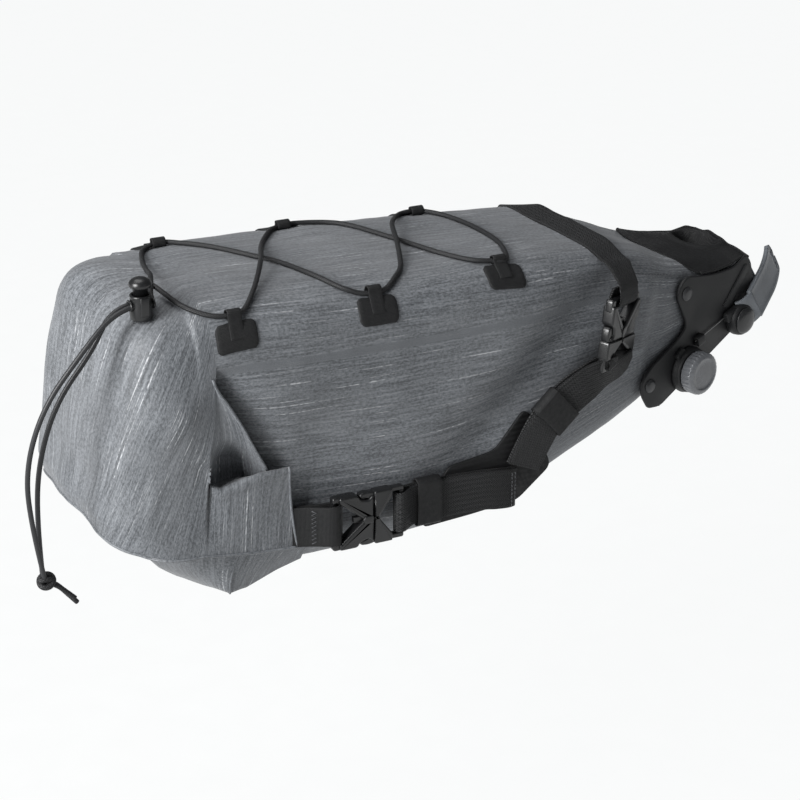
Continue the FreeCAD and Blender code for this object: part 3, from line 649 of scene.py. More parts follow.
def fold_line(f):
    """The hood's lower edge round the rear: f from -1, near side, to 1, far side."""
    return point_at(FOLD_EDGE, FOLD_RUN, (f + 1) / 2)


ROWS = 64
MOUTH, POCKET, LIP = 26, 33, 38  # rows at the gusset's end, the pocket's floor and the lip
start = TUBE[join_row, :UPPER]
hood = np.zeros((ROWS, UPPER, 3))
even = np.linspace(0, 1, ROWS)
# Near the sides the rows are drawn together between the mouth and the lip.
held = np.concatenate([np.linspace(0, 0.5, MOUTH), np.linspace(0.5, 0.53, LIP - MOUTH + 1)[1:],
                       np.linspace(0.53, 1, ROWS - LIP)[1:]])
held = np.interp(even, np.linspace(0, 1, len(held)), held)
for j in range(UPPER):
    f = 2 * j / (UPPER - 1) - 1
    a, b = start[j] - CORE, fold_line(f) - CORE
    pinch = smooth(0.7, 1.0, abs(f))
    hood[:, j] = on_hood(np.array([turn_between(a, b, t) for t in (1 - pinch) * even + pinch * held]))
    hood[0, j] = start[j]

# Flap, pocket and ear on the near side; the far side is their mirror image.
EAR_COLS = 30
LEFT = hood[:, 0]
RIGHT = np.array([(-410, -76, 31), (-407, -77.4, 19.7), (-401, -78.6, 8.6), (-393.7, -79.6, -5.1),
                  (-387.5, -80.2, -18.8), (-381.3, -80.2, -31.3)])
LIP_LINE = np.array([(0, -418.5, -75.5, -26), (0.08, -417.6, -77, -31), (0.18, -413.5, -78.6, -36.5),
                     (0.3, -407.8, -80, -39.2), (0.45, -400, -80.6, -37.6), (0.62, -391, -81, -34.4),
                     (0.76, -384, -81.2, -32.8), (1.0, -366.5, -81.2, -33.2)])
EAR_CORNER = V(-362.5, -81.2, -84.8)


def along_line(line, t):
    lengths = run_lengths(line)
    return point_at(line, lengths, t * lengths[-1])


ear = np.zeros((ROWS, EAR_COLS, 3))
right_line = catmull(RIGHT, 1.0)
for k in range(EAR_COLS):
    q = (k + 1) / EAR_COLS
    lip = np.array([np.interp(q, LIP_LINE[:, 0], LIP_LINE[:, c]) for c in (1, 2, 3)])
    swell = math.sin(math.pi * q)
    inner = V(-415 + 42 * q, -(76 - 15 * swell ** 0.8), -48 + 6 * (1 - q) + 2 * swell)
    for i in range(ROWS):
        if i <= MOUTH:
            t = i / MOUTH
            p = LEFT[i] * (1 - q) + along_line(right_line, t) * q
            p = p + V(0, 3.4 * swell * t + 15 * swell ** 0.9 * smooth(0.66, 1.06, t), 0)
        elif i <= POCKET:
            t = (i - MOUTH) / (POCKET - MOUTH)
            p = ear[MOUTH, k] * (1 - t) + inner * t
        elif i <= LIP:
            t = (i - POCKET) / (LIP - POCKET)
            p = inner * (1 - t) + lip * t
            p = p + V(0, 1.4 * math.sin(math.pi * t) * (1 - t), 0)
        else:
            t = (i - LIP) / (ROWS - 1 - LIP)
            low_point = LEFT[-1] * (1 - q) + EAR_CORNER * q + V(0, -0.6 * swell, -0.6 * swell)
            top_point = lip + V(0, -0.3, 0)
            bow = V(2.0 * math.sin(math.pi * t) * q * -0.6, -1.2 * math.sin(math.pi * t) * swell, 0)
            p = top_point * (1 - t) + low_point * t + bow
            p[1] -= 0.9 * math.sin(math.pi * min(1.0, t * 6)) * smooth(0.05, 0.3, q)
        ear[i, k] = p

MIRROR = V(1, -1, 1)
FULL = np.concatenate([ear[:, ::-1], hood, ear * MIRROR], axis=1)
cols = FULL.shape[1]


def hood_relief(p):
    """The same for the hood: its folds, the hollow behind the ear and the crease over the lip."""
    total = 1.3 * hash_noise(p, 0.016, 3) + 0.7 * hash_noise(p, 0.036, 11) + 0.2 * hash_noise(p, 0.11, 5)
    rear = smooth(-425, -445, p[0])
    gap = (V(p[0], abs(p[1]), p[2]) - V(-430, 75, 6)) / V(17, 14, 15)
    total -= 4.6 * math.exp(-float(np.dot(gap, gap)))
    crease = 1 if abs(p[1]) < 76 else 0.3
    total += 1.6 * math.exp(-((p[2] + 34) / 16) ** 2) * crease * smooth(-418, -440, p[0])
    total += rear * (0.9 * math.sin(p[1] * 0.11 + p[2] * 0.03) * smooth(10, -50, p[2]))
    return total


def grid_normals(verts, faces):
    """The normals at the points of a net of four-cornered faces."""
    verts = np.asarray(verts, float)
    normals = np.zeros_like(verts)
    tri = np.array([(f[0], f[1], f[2]) for f in faces] + [(f[0], f[2], f[3]) for f in faces])
    n = np.cross(verts[tri[:, 1]] - verts[tri[:, 0]], verts[tri[:, 2]] - verts[tri[:, 0]])
    for k in range(3):
        np.add.at(normals, tri[:, k], n)
    return normals / (np.linalg.norm(normals, axis=1)[:, None] + 1e-12)


# One joined net, so that the cloth's shading runs on from the body into the hood.
tube_verts = TUBE.reshape(-1, 3)
tube_faces = [f for f in quads(len(XS), ring, wrap=True)
              if not (max(f) // ring <= join_row and all(v % ring < UPPER for v in f))]
hood_verts = FULL.reshape(-1, 3)
hood_faces = quads(ROWS, cols, flip=True)
offset = len(tube_verts)
joined = np.concatenate([tube_verts, hood_verts])
link = {offset + EAR_COLS + j: join_row * ring + j for j in range(UPPER)}
all_faces = tube_faces + [tuple(link.get(v + offset, v + offset) for v in f) for f in hood_faces]
rest = grid_normals(joined, all_faces)
relief = np.array([body_relief(p) for p in tube_verts] + [hood_relief(p) for p in hood_verts])
BLEND_ROWS = 10  # rows over which the body's relief passes into the hood's
for i in range(ROWS):
    for j in range(cols):
        k = offset + i * cols + j
        inward = float(np.clip((EAR_COLS + 6 - min(j, cols - 1 - j)) / 16, 0, 1))
        relief[k] *= 1 - inward * (0.65 if i > LIP else 0.5)
        if i <= BLEND_ROWS:
            twin = join_row * ring + min(max(j - EAR_COLS, 0), UPPER - 1)
            w = smooth(0, BLEND_ROWS, i)
            relief[k] = relief[twin] * (1 - w) + relief[k] * w
joined = joined + rest * relief[:, None]
for a, b in link.items():
    joined[a] = joined[b]
rest = grid_normals(joined, all_faces)
for a, b in link.items():
    rest[a] = rest[b]
# The weave's columns are spaced as on one ring near the middle of the body.
UV_ROW = 60
flat_u = run_lengths(joined[UV_ROW * ring:(UV_ROW + 1) * ring])
flat_u = flat_u - flat_u[UPPER // 2]
tube_uv = np.stack([np.tile(flat_u, len(XS)), np.repeat(XS, ring)], 1)
ear_u = np.linspace(2, 56, EAR_COLS)
column_u = np.concatenate([flat_u[0] - ear_u[::-1], flat_u[:UPPER], flat_u[UPPER - 1] + ear_u])
grid = joined[offset:].reshape(ROWS, cols, 3)
down = np.concatenate([np.zeros((1, cols)), np.cumsum(np.linalg.norm(np.diff(grid, axis=0), axis=2), axis=0)])
hood_u = column_u[None] * (1 + 0.25 * np.linspace(0, 1, ROWS)[:, None])
hood_uv = np.stack([hood_u.ravel(), (JOIN_X - down).ravel()], 1)
bag = piece("bag_body", joined[:offset], tube_faces, "bag_fabric", "bag", "bag_shell", tube_uv,
            normals=rest[:offset])
hood_piece = piece("rear_hood", joined[offset:], hood_faces, "bag_fabric", None, "roll_closure", hood_uv,
                   normals=rest[offset:])
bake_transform(hood_piece)

block(-463, -450, -66, 66, -51, -49, 0.5, 1.0).make(
    "stiffener", "stiffener_plastic", "closure", "mouth_stiffener")

# Folded hems along the free edges of the gusset, the ear and the lower fold.
for hand, column in (("right", 0), ("left", cols - 1)):
    edge_path = grid[:, column]
    hem = tube(edge_path[2:MOUTH + 2], 0.9, 8)
    hem.merge(tube(edge_path[LIP:], 0.85, 8))
    obj = hem.make("hood_hem_" + hand, "bag_fabric", None)
    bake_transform(obj)
tube(grid[-1], 0.9, 8).make("hood_hem_lower", "bag_fabric", "closure")

# ---------------------------------------------------------------- the folded pouch under the hood
# Each line runs from the near side to the middle and has its corners where the others have theirs.
RIDGE = [(-352, -62, -103), (-366, -57, -110), (-383, -52, -120), (-394.6, -55, -119.8), (-403, -38, -120.5),
         (-411, -18, -122), (-414, 0, -122.5)]
UNDER = [(-352, -70, -92), (-360, -71, -90), (-374, -70, -88), (-392, -68, -86), (-425, -66, -80),
         (-449, -52, -73), (-458, 0, -66)]
ROOT = [(-352, -55, -104), (-352, -50, -106), (-352, -44, -107), (-352, -40, -108), (-352, -26, -109),
        (-352, -12, -109), (-352, 0, -109)]
CORNER_COUNTS = [5, 6, 6, 7, 7, 8]


def across_rear(corners):
    """Even points between the corners, and the same again mirrored to the far side."""
    points, line = [V(*p) for p in corners], []
    for a, b, n in zip(points, points[1:], CORNER_COUNTS):
        line += [a + (b - a) * k / n for k in range(n)]
    line = np.array(line + [points[-1]])
    return np.concatenate([line, line[-2::-1] * MIRROR])


under, ridge_row, root_row = across_rear(UNDER), across_rear(RIDGE), across_rear(ROOT)
pouch_rows = []
for t in np.linspace(0, 1, 14):
    mid = np.abs(np.linspace(-1, 1, len(under)))
    push = V(-1, 0, -0.6) * 5.0 * math.sin(math.pi * t)
    pouch_rows.append(under * (1 - t) + ridge_row * t + push * (1 - mid)[:, None])
for t in np.linspace(0, 1, 10)[1:]:
    pouch_rows.append(ridge_row * (1 - t) + root_row * t + V(0, 0, -1.5) * math.sin(math.pi * t))
pouch = np.array(pouch_rows)
for idx in np.ndindex(pouch.shape[:2]):
    q = pouch[idx]
    q += V(-0.4, 0, -0.9) * (0.8 * hash_noise(q, 0.04, 9) + 0.3 * hash_noise(q, 0.1, 4))
pouch_u = np.linspace(-110, 110, pouch.shape[1])
pouch_uv = [(u + 300, i * 4.0 + 0.4 * u) for i in range(len(pouch)) for u in pouch_u]
obj = piece("lower_fold", pouch.reshape(-1, 3), quads(*pouch.shape[:2], flip=True), "bag_fabric", None, (),
            pouch_uv)
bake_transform(obj)
SIDES = ((1, "right"), (-1, "left"))
for side, hand in SIDES:
    k = sum(CORNER_COUNTS[:3])
    line = pouch[:14, k if side == 1 else -1 - k]
    tube(line, 0.7, 8).make("lower_fold_hem_" + hand, "bag_fabric", "closure")

# ---------------------------------------------------------------- draping on the cloth
SKIN = BVHTree.FromPolygons([tuple(p) for p in joined], [tuple(f) for f in all_faces])


def cast(origin, way):
    hit = SKIN.ray_cast(Vector(origin), Vector(way))
    return None if hit[0] is None else V(*hit[0])


def top_at(x, y, lift=0.0):
    hit = cast((x, y, 200), (0, 0, -1))
    return V(x, y, (hit[2] if hit is not None else crown(x, y)) + lift)


def side_at(x, z, side=1, lift=0.0):
    hit = cast((x, -side * 200, z), (0, side, 0))
    y = abs(hit[1]) if hit is not None else station(x)[0]
    return V(x, -side * (y + lift), z)


def shoulder_arc(x, y):
    """Points on the cloth that lead from a place on the top outwards and down the side."""
    sign = math.copysign(1, y)
    a0 = math.atan2(top_at(x, y)[2] + 5, abs(y))
    pts = []
    for k in range(60):
        a = a0 - 0.02 * k
        way = V(0, sign * math.cos(a), math.sin(a))
        hit = cast(V(x, 0, -5) + way * 200, -way)
        if hit is not None:
            pts.append(hit)
    return np.array(pts)


def sheet_pad(place, cells, thick):
    """A thin pad with rounded rims. place(u, v) gives a point, its outward direction and its flat place."""
    spread = [0, 0.012, 0.04] + [k / cells for k in range(1, cells)] + [0.96, 0.988, 1]
    n = len(spread)
    rise = (-0.4, 0.72, 1.0)
    verts, uv = [], []
    for i, u in enumerate(spread):
        for j, v in enumerate(spread):
            p, out, flat = place(u, v)
            verts.append(p + out * thick * rise[min(i, j, n - 1 - i, n - 1 - j, 2)])
            uv.append(flat)
    return Build().add(verts, quads(n, n), uv)


# ---------------------------------------------------------------- elastic cord and its loops
LOOPS = {("right", 1): (-393, -67.5), ("right", 2): (-305, -64.5), ("right", 3): (-218.5, -54.5),
         ("left", 1): (-393, 47), ("left", 2): (-311, 50), ("left", 3): (-222, 46)}
for (hand, n), (x, y) in LOOPS.items():
    sign = math.copysign(1, y)
    arcs = {}

    def loop_place(u, v):
        depth = 17 * v
        corner = max(0.0, abs(depth - 8.5) - 4.5)
        half = 12.5 - (4 - math.sqrt(max(0.0, 16 - corner ** 2)))
        px = x + (2 * u - 1) * half
        key = round(px, 1)
        if key not in arcs:
            arcs[key] = shoulder_arc(px, y + 1.5 * sign)
        arc = arcs[key]
        lengths = run_lengths(arc)
        p = point_at(arc, lengths, depth)
        way = unit(point_at(arc, lengths, depth + 2) - p)
        out = unit(V(0, -way[2] * sign, way[1] * sign))
        if np.dot(out, p - V(px, 0, 0)) < 0:
            out = -out
        return p, out, (px, depth)

    build = sheet_pad(loop_place, 8, 1.1)
    # The narrow loop folds up from the patch and back over the cord.
    centre = top_at(x, y) + V(0, 0, 2.6)
    band_path = [shoulder_arc(x, y + 1.5 * sign)[6] + V(0, sign * 0.6, 0.9)]
    band_path += [centre + V(0, sign * dy, dz) for dy, dz in
                  ((2.6, -0.8), (2.2, 1.8), (0, 2.8), (-2.3, 1.5), (-2.5, -1.4), (1.5, -2.4))]
    build.merge(belt(catmull(band_path, 0.7), (1, 0, 0), 8.5, 0.9, 0.35, 5))
    build.make(f"loop_{hand}_{n}", "black_fabric", "bag", f"cord_loop_{hand}_{n}")

LOCK = top_at(-441, -52) + V(0, 0, 0.6)
HOLE = 9.0
ROUTE = [
    (-427, -30), (-418, -53), (-407, -64), (-397, -67.5), (-387, -67), (-374, -53), (-356, -21), (-338, 20),
    (-326, 39), (-318, 48), (-305, 51), (-284, 45), (-273, 32), (-260, 3), (-247, -31), (-235, -49),
    (-224, -54.5), (-213, -54.5), (-204, -28), (-203, 7), (-209, 33), (-219, 46), (-227, 47.5), (-236, 44),
    (-252, 19), (-263, -10), (-277, -43), (-288, -57), (-297, -64), (-305, -65.5), (-313, -64.5), (-323, -59),
    (-332, -42), (-341, -13), (-351, 5), (-366, 27), (-380, 41), (-392, 47.5), (-404, 43), (-412, 23),
    (-418, 0), (-423, -20),
]
# How far the cord is lifted where it crosses itself and where it rises to the lock.
LIFTS = {(-356, -21): 3.4, (-374, -53): 1.0, (-252, 19): 3.4, (-263, -10): 2.0,
         (-427, -30): 5.0, (-423, -20): 5.0, (-418, -53): 1.0, (-418, 0): 2.0}
cord_points = [LOCK + V(-2, -2.2, HOLE), LOCK + V(6, -1.5, HOLE)]
for x, y in ROUTE:
    at_loop = any(math.hypot(x - a, y - b) < 7 for a, b in LOOPS.values())
    cord_points.append(top_at(x, y, 2.4 if at_loop else 1.6 + LIFTS.get((x, y), 0)))
cord_points += [LOCK + V(6, 3.4, HOLE), LOCK + V(-2, 2.2, HOLE)]
tube(catmull(cord_points, 2.0), CORD_RADIUS, 12).make("bungee", "cord", "bag", "bungee_cord")

# ---------------------------------------------------------------- cord lock
lock = turned([(0.01, 0), (4.6, 0), (5.6, 0.3), (6.2, 1.2), (6.5, 4), (6.4, 7), (6.0, 11), (6.1, 13.2),
               (6.3, 14.2), (6.0, 14.9), (5.2, 15.0), (4.9, 14.2), (4.8, 2.0), (0.01, 2.0)], 40)
lock.merge(mirrored(block(-2.6, 2.6, 5.4, 7.1, 3.5, 14.4, 0.6, 1.2)))
for x in (-6.65, 6.65):
    eye = [(x, 3.6 * math.cos(t), HOLE + 2.5 * math.sin(t)) for t in np.linspace(0, 2 * math.pi, 25)]
    lock.merge(tube(eye, 0.75, 8, False))
UPRIGHT = (LOCK, V(1, 0, 0), V(0, 1, 0), V(0, 0, 1))
lock.moved(UPRIGHT).make("lock_barrel", "buckle_plastic", "bag", "cord_lock_barrel")
button = turned([(0.01, 14.7), (4.3, 14.7), (4.3, 18.6), (5.2, 19.0), (6.3, 19.6), (6.6, 20.6), (6.3, 22.0),
                 (5.4, 23.2), (3.8, 24.2), (2.0, 24.7), (0.01, 24.8)], 40)
button.moved(UPRIGHT).make("lock_button", "buckle_plastic", "lock_button", "cord_lock_button")
coil_path = [LOCK + V(2.6 * math.cos(t), 2.6 * math.sin(t), 2.4 + 4 * t / 31)
             for t in np.linspace(0, 31, 160)]
tube(coil_path, 0.35, 6).make("lock_spring", "lace_steel", "bag", "cord_lock_spring")

# ---------------------------------------------------------------- tails and knot
KNOT = V(-503, -47, -91)
TAILS = (("tail_upper", -2.2, 5.5, 0.189), ("tail_lower", 2.4, -3.5, 0.184))


def knot_piece():
    """Three turns of cord and the two cut ends that hang from them."""
    build = Build()
    for k in range(3):
        ring = []
        for t in np.linspace(0, 2 * math.pi, 30):
            a = t + k * 2.1
            ring.append(KNOT + V(4.0 * math.cos(t), 3.4 * math.sin(t) * math.cos(k * 1.1),
                                 3.7 * math.sin(t) * math.sin(k * 1.1 + 0.7) + 0.8 * math.cos(a)))
        build.merge(tube(ring, 1.75, 10, False))
    for y, dx, dz in ((-1.8, 15.5, -13), (2.0, 18.5, -19)):
        end = [KNOT + V(0, 0.4 * y, -1), KNOT + V(dx * 0.35, 1.2 * y, dz * 0.25),
               KNOT + V(dx * 0.75, 1.4 * y, dz * 0.7), KNOT + V(dx, 1.6 * y, dz)]
        build.merge(tube(catmull(end, 1.5), CORD_RADIUS, 12))
    return build.make("tails_knot", "cord", "bag", "tail_knot")


def cord_curve(name, points, diameter):
    curve = bpy.data.curves.new(name, "CURVE")
    curve.dimensions = "3D"
    line = curve.splines.new("NURBS")
    line.points.add(len(points) - 1)
    for point, p in zip(line.points, points):
        point.co = (*[c * MM for c in p], 1)
    line.order_u = 3
    line.use_endpoint_u = True
    line.resolution_u = 8
    curve.bevel_depth = diameter * MM / 2
    curve.bevel_resolution = 4
    curve.use_fill_caps = True
    curve.materials.append(MAT["cord"])
    return linked(name, curve)


knot = knot_piece()
for name, offset, bulge, length in TAILS:
    first = LOCK + V(-5, offset, HOLE)
    points = [first, first + V(-13, -2, -1), V(-474 - bulge, -57 + offset, 47),
              V(-497 - bulge, -56 + offset, 19), V(-508 - bulge, -52 + offset, -18),
              V(-508 - bulge * 0.5, -49 + offset, -55), KNOT + V(-1.5, offset * 0.7, 3)]
    obj = cord_curve("cord_" + name, points, 3.0)
    obj.data.name = name
    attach(obj, "bag")
    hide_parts(name)

# ---------------------------------------------------------------- buckles


def female_buckle():
    half = slab(rounded([(22.0, 16.7, 1.5), (10.6, 16.7, 2.5), (8.6, 13.4, 2), (3.4, 12.2, 2), (1.4, 14.4, 1.2),
                         (-0.1, 14.4, 0.8), (-0.1, -0.2, 0.1), (5.4, -0.2, 0.1), (7.2, 1.0, 1.5),
                         (22.0, 13.2, 0.8)], 1.0), -3.9, 4.3, 1.3, 4)
    bar_end = [(25.9, 16.9, 3), (18.0, 16.9, 1), (18.0, 12.6, 1), (25.9, 12.6, 1)]
    half.merge(slab(rounded(bar_end, 1.5), -2.6, 2.6, 1.0))
    build = mirrored(half)
    build.merge(block(22.9, 25.8, -14.5, 14.5, -1.9, 1.9, 0.8, 1.2))
    build.merge(block(18.6, 20.6, -13.5, 13.5, -2.2, 0.6, 0.5, 0.8))
    mark = [(0.8, 2.4), (6.0, 2.4), (7.6, 0), (6.0, -2.4), (0.8, -2.4)]
    return build.merge(slab(rounded(mark, 1, 3), 4.0, 4.9, 0.4, 2))


def male_buckle():
    half = slab(rounded([(-0.3, 16.7, 1.6), (-12.0, 16.7, 1.2), (-12.0, 12.0, 1), (-4.4, 2.0, 1.5),
                         (-3.4, -0.2, 0.1), (-0.3, -0.2, 0.1)], 1), -3.4, 4.1, 1.1, 4)
    rail = [(-3.8, 16.6, 1), (-20.0, 16.6, 2.4), (-20.0, 13.3, 0.6), (-3.8, 13.3, 0.6)]
    half.merge(slab(rounded(rail, 1), -2.1, 2.1, 0.8))
    # The sprung prong ends in a rounded lobe that shows in the other half's side.
    lobe = [(-1.5, 12.6, 0.5), (-0.6, 16.2, 1), (3.2, 16.9, 2.4), (7.6, 16.5, 2), (9.2, 14.6, 1.4),
            (7.4, 12.9, 1), (3.0, 12.0, 0.5), (-0.6, 9.8, 0.5)]
    half.merge(slab(rounded(lobe, 1), -2.6, 2.8, 1.0))
    tongue = [(-1.0, 13.6), (-1.0, 8.2), (14.4, 8.0), (14.8, 12.4), (8.0, 13.8)]
    half.merge(slab(rounded(tongue, 0.8, 3), -2.1, 2.1, 0.5))
    build = mirrored(half)
    build.merge(block(-1.2, 12.2, -2, 2, -1.6, 1.6, 0.4, 0.8))
    build.merge(block(-20.0, -17.3, -14.2, 14.2, -1.9, 1.9, 0.7, 1.0))
    for k in range(9):
        y = -10.4 + 2.6 * k
        build.merge(block(-19.7, -17.6, y - 0.5, y + 0.5, 1.5, 2.5, 0.3, 0.3))
    return build


def rolled(place, degrees):
    """The same place, rolled about its own x axis."""
    base, x, y, z = place
    c, s = math.cos(math.radians(degrees)), math.sin(math.radians(degrees))
    return base, x, y * c + z * s, z * c - y * s


LOW = (-317, 86, -72.5)
UP = (-145.6, 72.5, 6)
UP_TILT, UP_ROLL = 82.6, 30
PATCH_X = -279.0
PATCH = [(-190, -70), (-203, -36), (-210, -29.5), (-230, -52), (-262, -55.5), (-266, -61), (-281, -91),
         (-247, -90), (-214, -88)]
KEEPER = [(0, -14.6, 0), (0, -13.2, 3.2), (0, -10, 3.7), (0, 10, 3.7), (0, 13.2, 3.2), (0, 14.6, 0),
          (0, 13.2, -3.2), (0, 10, -3.5), (0, -10, -3.5), (0, -13.2, -3.2)]
UP_SEATS = {side: rolled(seat(side, *UP, 0, UP_TILT if side == 1 else 180 - UP_TILT), side * UP_ROLL)
            for side, hand in SIDES}


def closed_ring(points):
    """A smooth closed line whose last point is its first."""
    ring = catmull(points, 1.0, closed=True)
    return np.concatenate([ring, ring[:1]])


def from_seat(place, steps):
    """Points at the given steps along a place's x and z axes."""
    base, x, y, z = place
    return [base + x * a + z * b for a, b in steps]


for side, hand in SIDES:
    low_seat, up_seat = seat(side, *LOW, 0, 180 if side == 1 else 0), UP_SEATS[side]
    for place, short, long, rider in ((low_seat, "low", "lower", "closure"),
                                      (up_seat, "up", "upper", "saddle_strap")):
        for build, sex, body in ((female_buckle(), "female", rider), (male_buckle(), "male", "bag")):
            build.moved(place).make(f"buckle_{short}_{sex}_{hand}", "buckle_plastic", body,
                                    f"{long}_buckle_{sex}_{hand}")

    # ------------------------------------------------------------ patch and lower webbing
    outline = [(side * (x - PATCH_X), z) for x, z in PATCH]
    patch = slab(rounded(outline, 5), -0.8, 1.1, 0.35, 2)
    patch.moved(seat(side, PATCH_X, 78.0, 0, 3.6)).make("patch_" + hand, "black_fabric", "bag",
                                                        "anchor_patch_" + hand)

    def plan(points):
        return catmull([V(p[0], -side * p[1], LOW[2] + (p[2] if len(p) > 2 else 0)) for p in points], 1.2)

    low_web = plan([(-217.5, 76.6, -4), (-226, 78.9, -2.9), (-236, 80.7, -0.8), (-255, 80.9, 0.6),
                    (-285, 80.9, 0.7), (-296, 81.6), (-300, 83.2), (-302.2, 86.0), (-301.4, 89.0),
                    (-298.5, 90.0), (-295.5, 88.2), (-292.2, 85.4), (-288, 84.0, 0.5), (-276, 83.6, 0.7),
                    (-258, 83.5, 0.6), (-240, 83.5, -0.3), (-231, 82.7, -1.9), (-222, 80.6, -3.6),
                    (-217.8, 78.9, -4)])
    belt(low_web, (0, 0, side), WEB_WIDTH, 1.6, 0.5, 12).make(
        "low_web_" + hand, "webbing", "bag", "lower_webbing_" + hand)
    for x, y in ((-219.3, 81.5), (-221.8, 82.3)):
        line = [V(x, -side * y, LOW[2] - 3.9 + z) for z in np.linspace(-11, 11, 12)]
        stitches(line, (0.2, -side, 0), 1.6, 0.9, 0.25).make(
            f"low_stitch_{abs(int(x * 10))}_{hand}", "thread", "bag")

    tab_path = plan([(-375, 77.6), (-366, 78.4), (-356, 80.6), (-347, 82.6), (-340.5, 83.4), (-338.0, 85.6),
                     (-338.2, 88.6), (-341, 90.3), (-345, 89.4), (-350.5, 86.4), (-357, 83.2), (-364.5, 80.7),
                     (-372, 79.4)])
    belt(tab_path, (0, 0, side), WEB_WIDTH, 1.5, 0.5, 10).make("tab_" + hand, "black_fabric", "closure",
                                                               "closure_tab_" + hand)
    zigzag = []
    for k in range(17):
        x = -353.5 + (1.2 if k % 2 else -1.2)
        zigzag.append(V(x, -side * (85.75 + 0.48 * (x + 353.5)), LOW[2] - 10.5 + 1.3 * k))
    tube(zigzag, 0.3, 6).make("tab_zigzag_" + hand, "thread", "closure")

    keeper = belt(closed_ring(KEEPER), (1, 0, 0), 15.5, 1.1, 0.35, 6)
    keeper.moved(seat(side, -279, 82.6, LOW[2] + 0.9)).make(
        "keeper_low_" + hand, "black_fabric", "keeper_" + hand, "lower_keeper_" + hand)

    # ------------------------------------------------------------ webbing up to the saddle strap
    climb = [(-212, -65, 76.3, 1.9), (-205, -50, 77.6, 2.4), (-199.5, -39, 79, 2.6), (-192.5, -31.5, 79.2, 2.8),
             (-184.5, -25.5, 78.6, 3.2), (-174, -20.0, 77.2, 3.6), (-165, -17.0, 75.4, 3.8)]
    inner = [V(x, -side * y, z) for x, z, y, gap in climb]
    outer = [V(x, -side * (y + gap), z) for x, z, y, gap in climb]
    by = up_seat[2]
    turn_in = from_seat(up_seat, ((-19.5, -2.4), (-13, -2.2), (-9.4, 0.6), (-12.5, 3.8), (-18.5, 3.2)))
    route = catmull(inner + turn_in + outer[::-1], 1.2)
    run = run_lengths(route)
    bar = run[int(np.argmin(np.linalg.norm(route - turn_in[2], axis=1)))]
    # The webbing lies flat on the cloth and turns to the buckle's bar over its last stretch.
    outwards = unit(V(0.14, -side, 0))
    start_flat = unit(np.cross(outwards, V(0.75, 0, 0.66)))
    if np.dot(start_flat, by) < 0:
        start_flat = -start_flat
    seats = []
    for s, t in zip(run, np.gradient(route, axis=0)):
        flat = start_flat
        if abs(s - bar) > 46:
            level = np.cross(outwards, unit(t))
            flat = unit(level) * math.copysign(1, np.dot(level, start_flat))
        w = 1 - smooth(12, 48, abs(s - bar))
        seats.append(unit(flat * (1 - 0.8 * w) + by * 0.8 * w))
    seats = np.array(seats)
    near = np.exp(-0.5 * ((run[:, None] - run[None]) / 6.0) ** 2)
    seats = near @ seats / near.sum(axis=1)[:, None]
    belt(route, seats, WEB_WIDTH, 1.5, 0.5, 12).make(
        "side_web_" + hand, "webbing", "bag",
        ("side_webbing_lower_" + hand, "side_webbing_upper_" + hand, "ladder_webbing_" + hand))
    mid = V(-192.5, -side * 81.2, -31.5)
    direction = unit(V(14, side * 0.4, 12.5))
    around = unit(np.cross(outwards, direction))
    keeper = closed_ring([mid + around * y * 0.93 + outwards * z for _, y, z in KEEPER])
    belt(keeper, direction, 18, 1.1, 0.35, 6).make(
        "keeper_up_" + hand, "black_fabric", "bag", "upper_keeper_" + hand)

# ---------------------------------------------------------------- the strap over the top
# At each end it goes out through the buckle's bar from below, over it and up.
BAR_TURN = ((31, -2.4), (25, -3.6), (21.4, -1.8), (20.8, 1.6), (23.5, 3.8), (28, 3.6), (34, 1.4))
OVER_TOP = [(-139.5, -61, 4.0), (-139.5, -52, 2.2), (-142, -38, 1.4), (-144.5, -20, 1.2), (-146.5, 0, 1.2),
            (-148, 20, 1.2), (-149, 38, 1.4), (-148, 52, 2.2), (-145, 61, 4.0)]
arch = [top_at(*p) for p in OVER_TOP]
for p in (arch[0], arch[-1]):
    p[2] = max(p[2], 47)
route = catmull(from_seat(UP_SEATS[1], BAR_TURN) + arch + from_seat(UP_SEATS[-1], BAR_TURN)[::-1], 1.2)
seats = []
for p in route:
    side = 1 if p[1] < 0 else -1
    base, bx, by, bz = UP_SEATS[side]
    w = 1 - smooth(34, 66, np.linalg.norm(p - base))
    along = V(1, 0.25 * side, 0.0)
    ahead = by if np.dot(by, along) > 0 else -by
    seats.append(unit(along * (1 - w) + ahead * w))
belt(route, seats, 20.5, 1.5, 0.5, 12).make("top_strap", "webbing", "saddle_strap", "saddle_strap")

# ---------------------------------------------------------------- nose panels, rivets and covers
PANEL = [(-15.5, -9, 5), (-24, 23, 4), (-29, 28.5, 3), (-39, 22.5, 8), (-56, 22.0, 12), (-74, 25, 10),
         (-84, 27, 5), (-92.5, 17, 10), (-86, 4, 11), (-81, -6, 11), (-90, -14, 12), (-112, -25, 10),
         (-121, -34, 7), (-119.5, -43, 4), (-113.5, -52.5, 2), (-103, -54, 4)]
ANGLE, FRONT_X, FRONT_Y = 16.9, -19.0, 28.7
SLOPE = math.tan(math.radians(ANGLE))


def half_gap(x):
    """Half the distance between the panels at x."""
    return FRONT_Y + SLOPE * (FRONT_X - x)


def on_panel(side, x, z, out=0.0, turn=0.0):
    base, bx, by, bz = seat(side, x, half_gap(x), z, ANGLE, turn)
    return base + bz * out, bx, by, bz


def panel_outline(side, corners):
    """Corners given by x and height, with x stretched to run along the slanting panel."""
    return [(side * (x - FRONT_X) / math.cos(math.radians(ANGLE)), *rest) for x, *rest in corners]


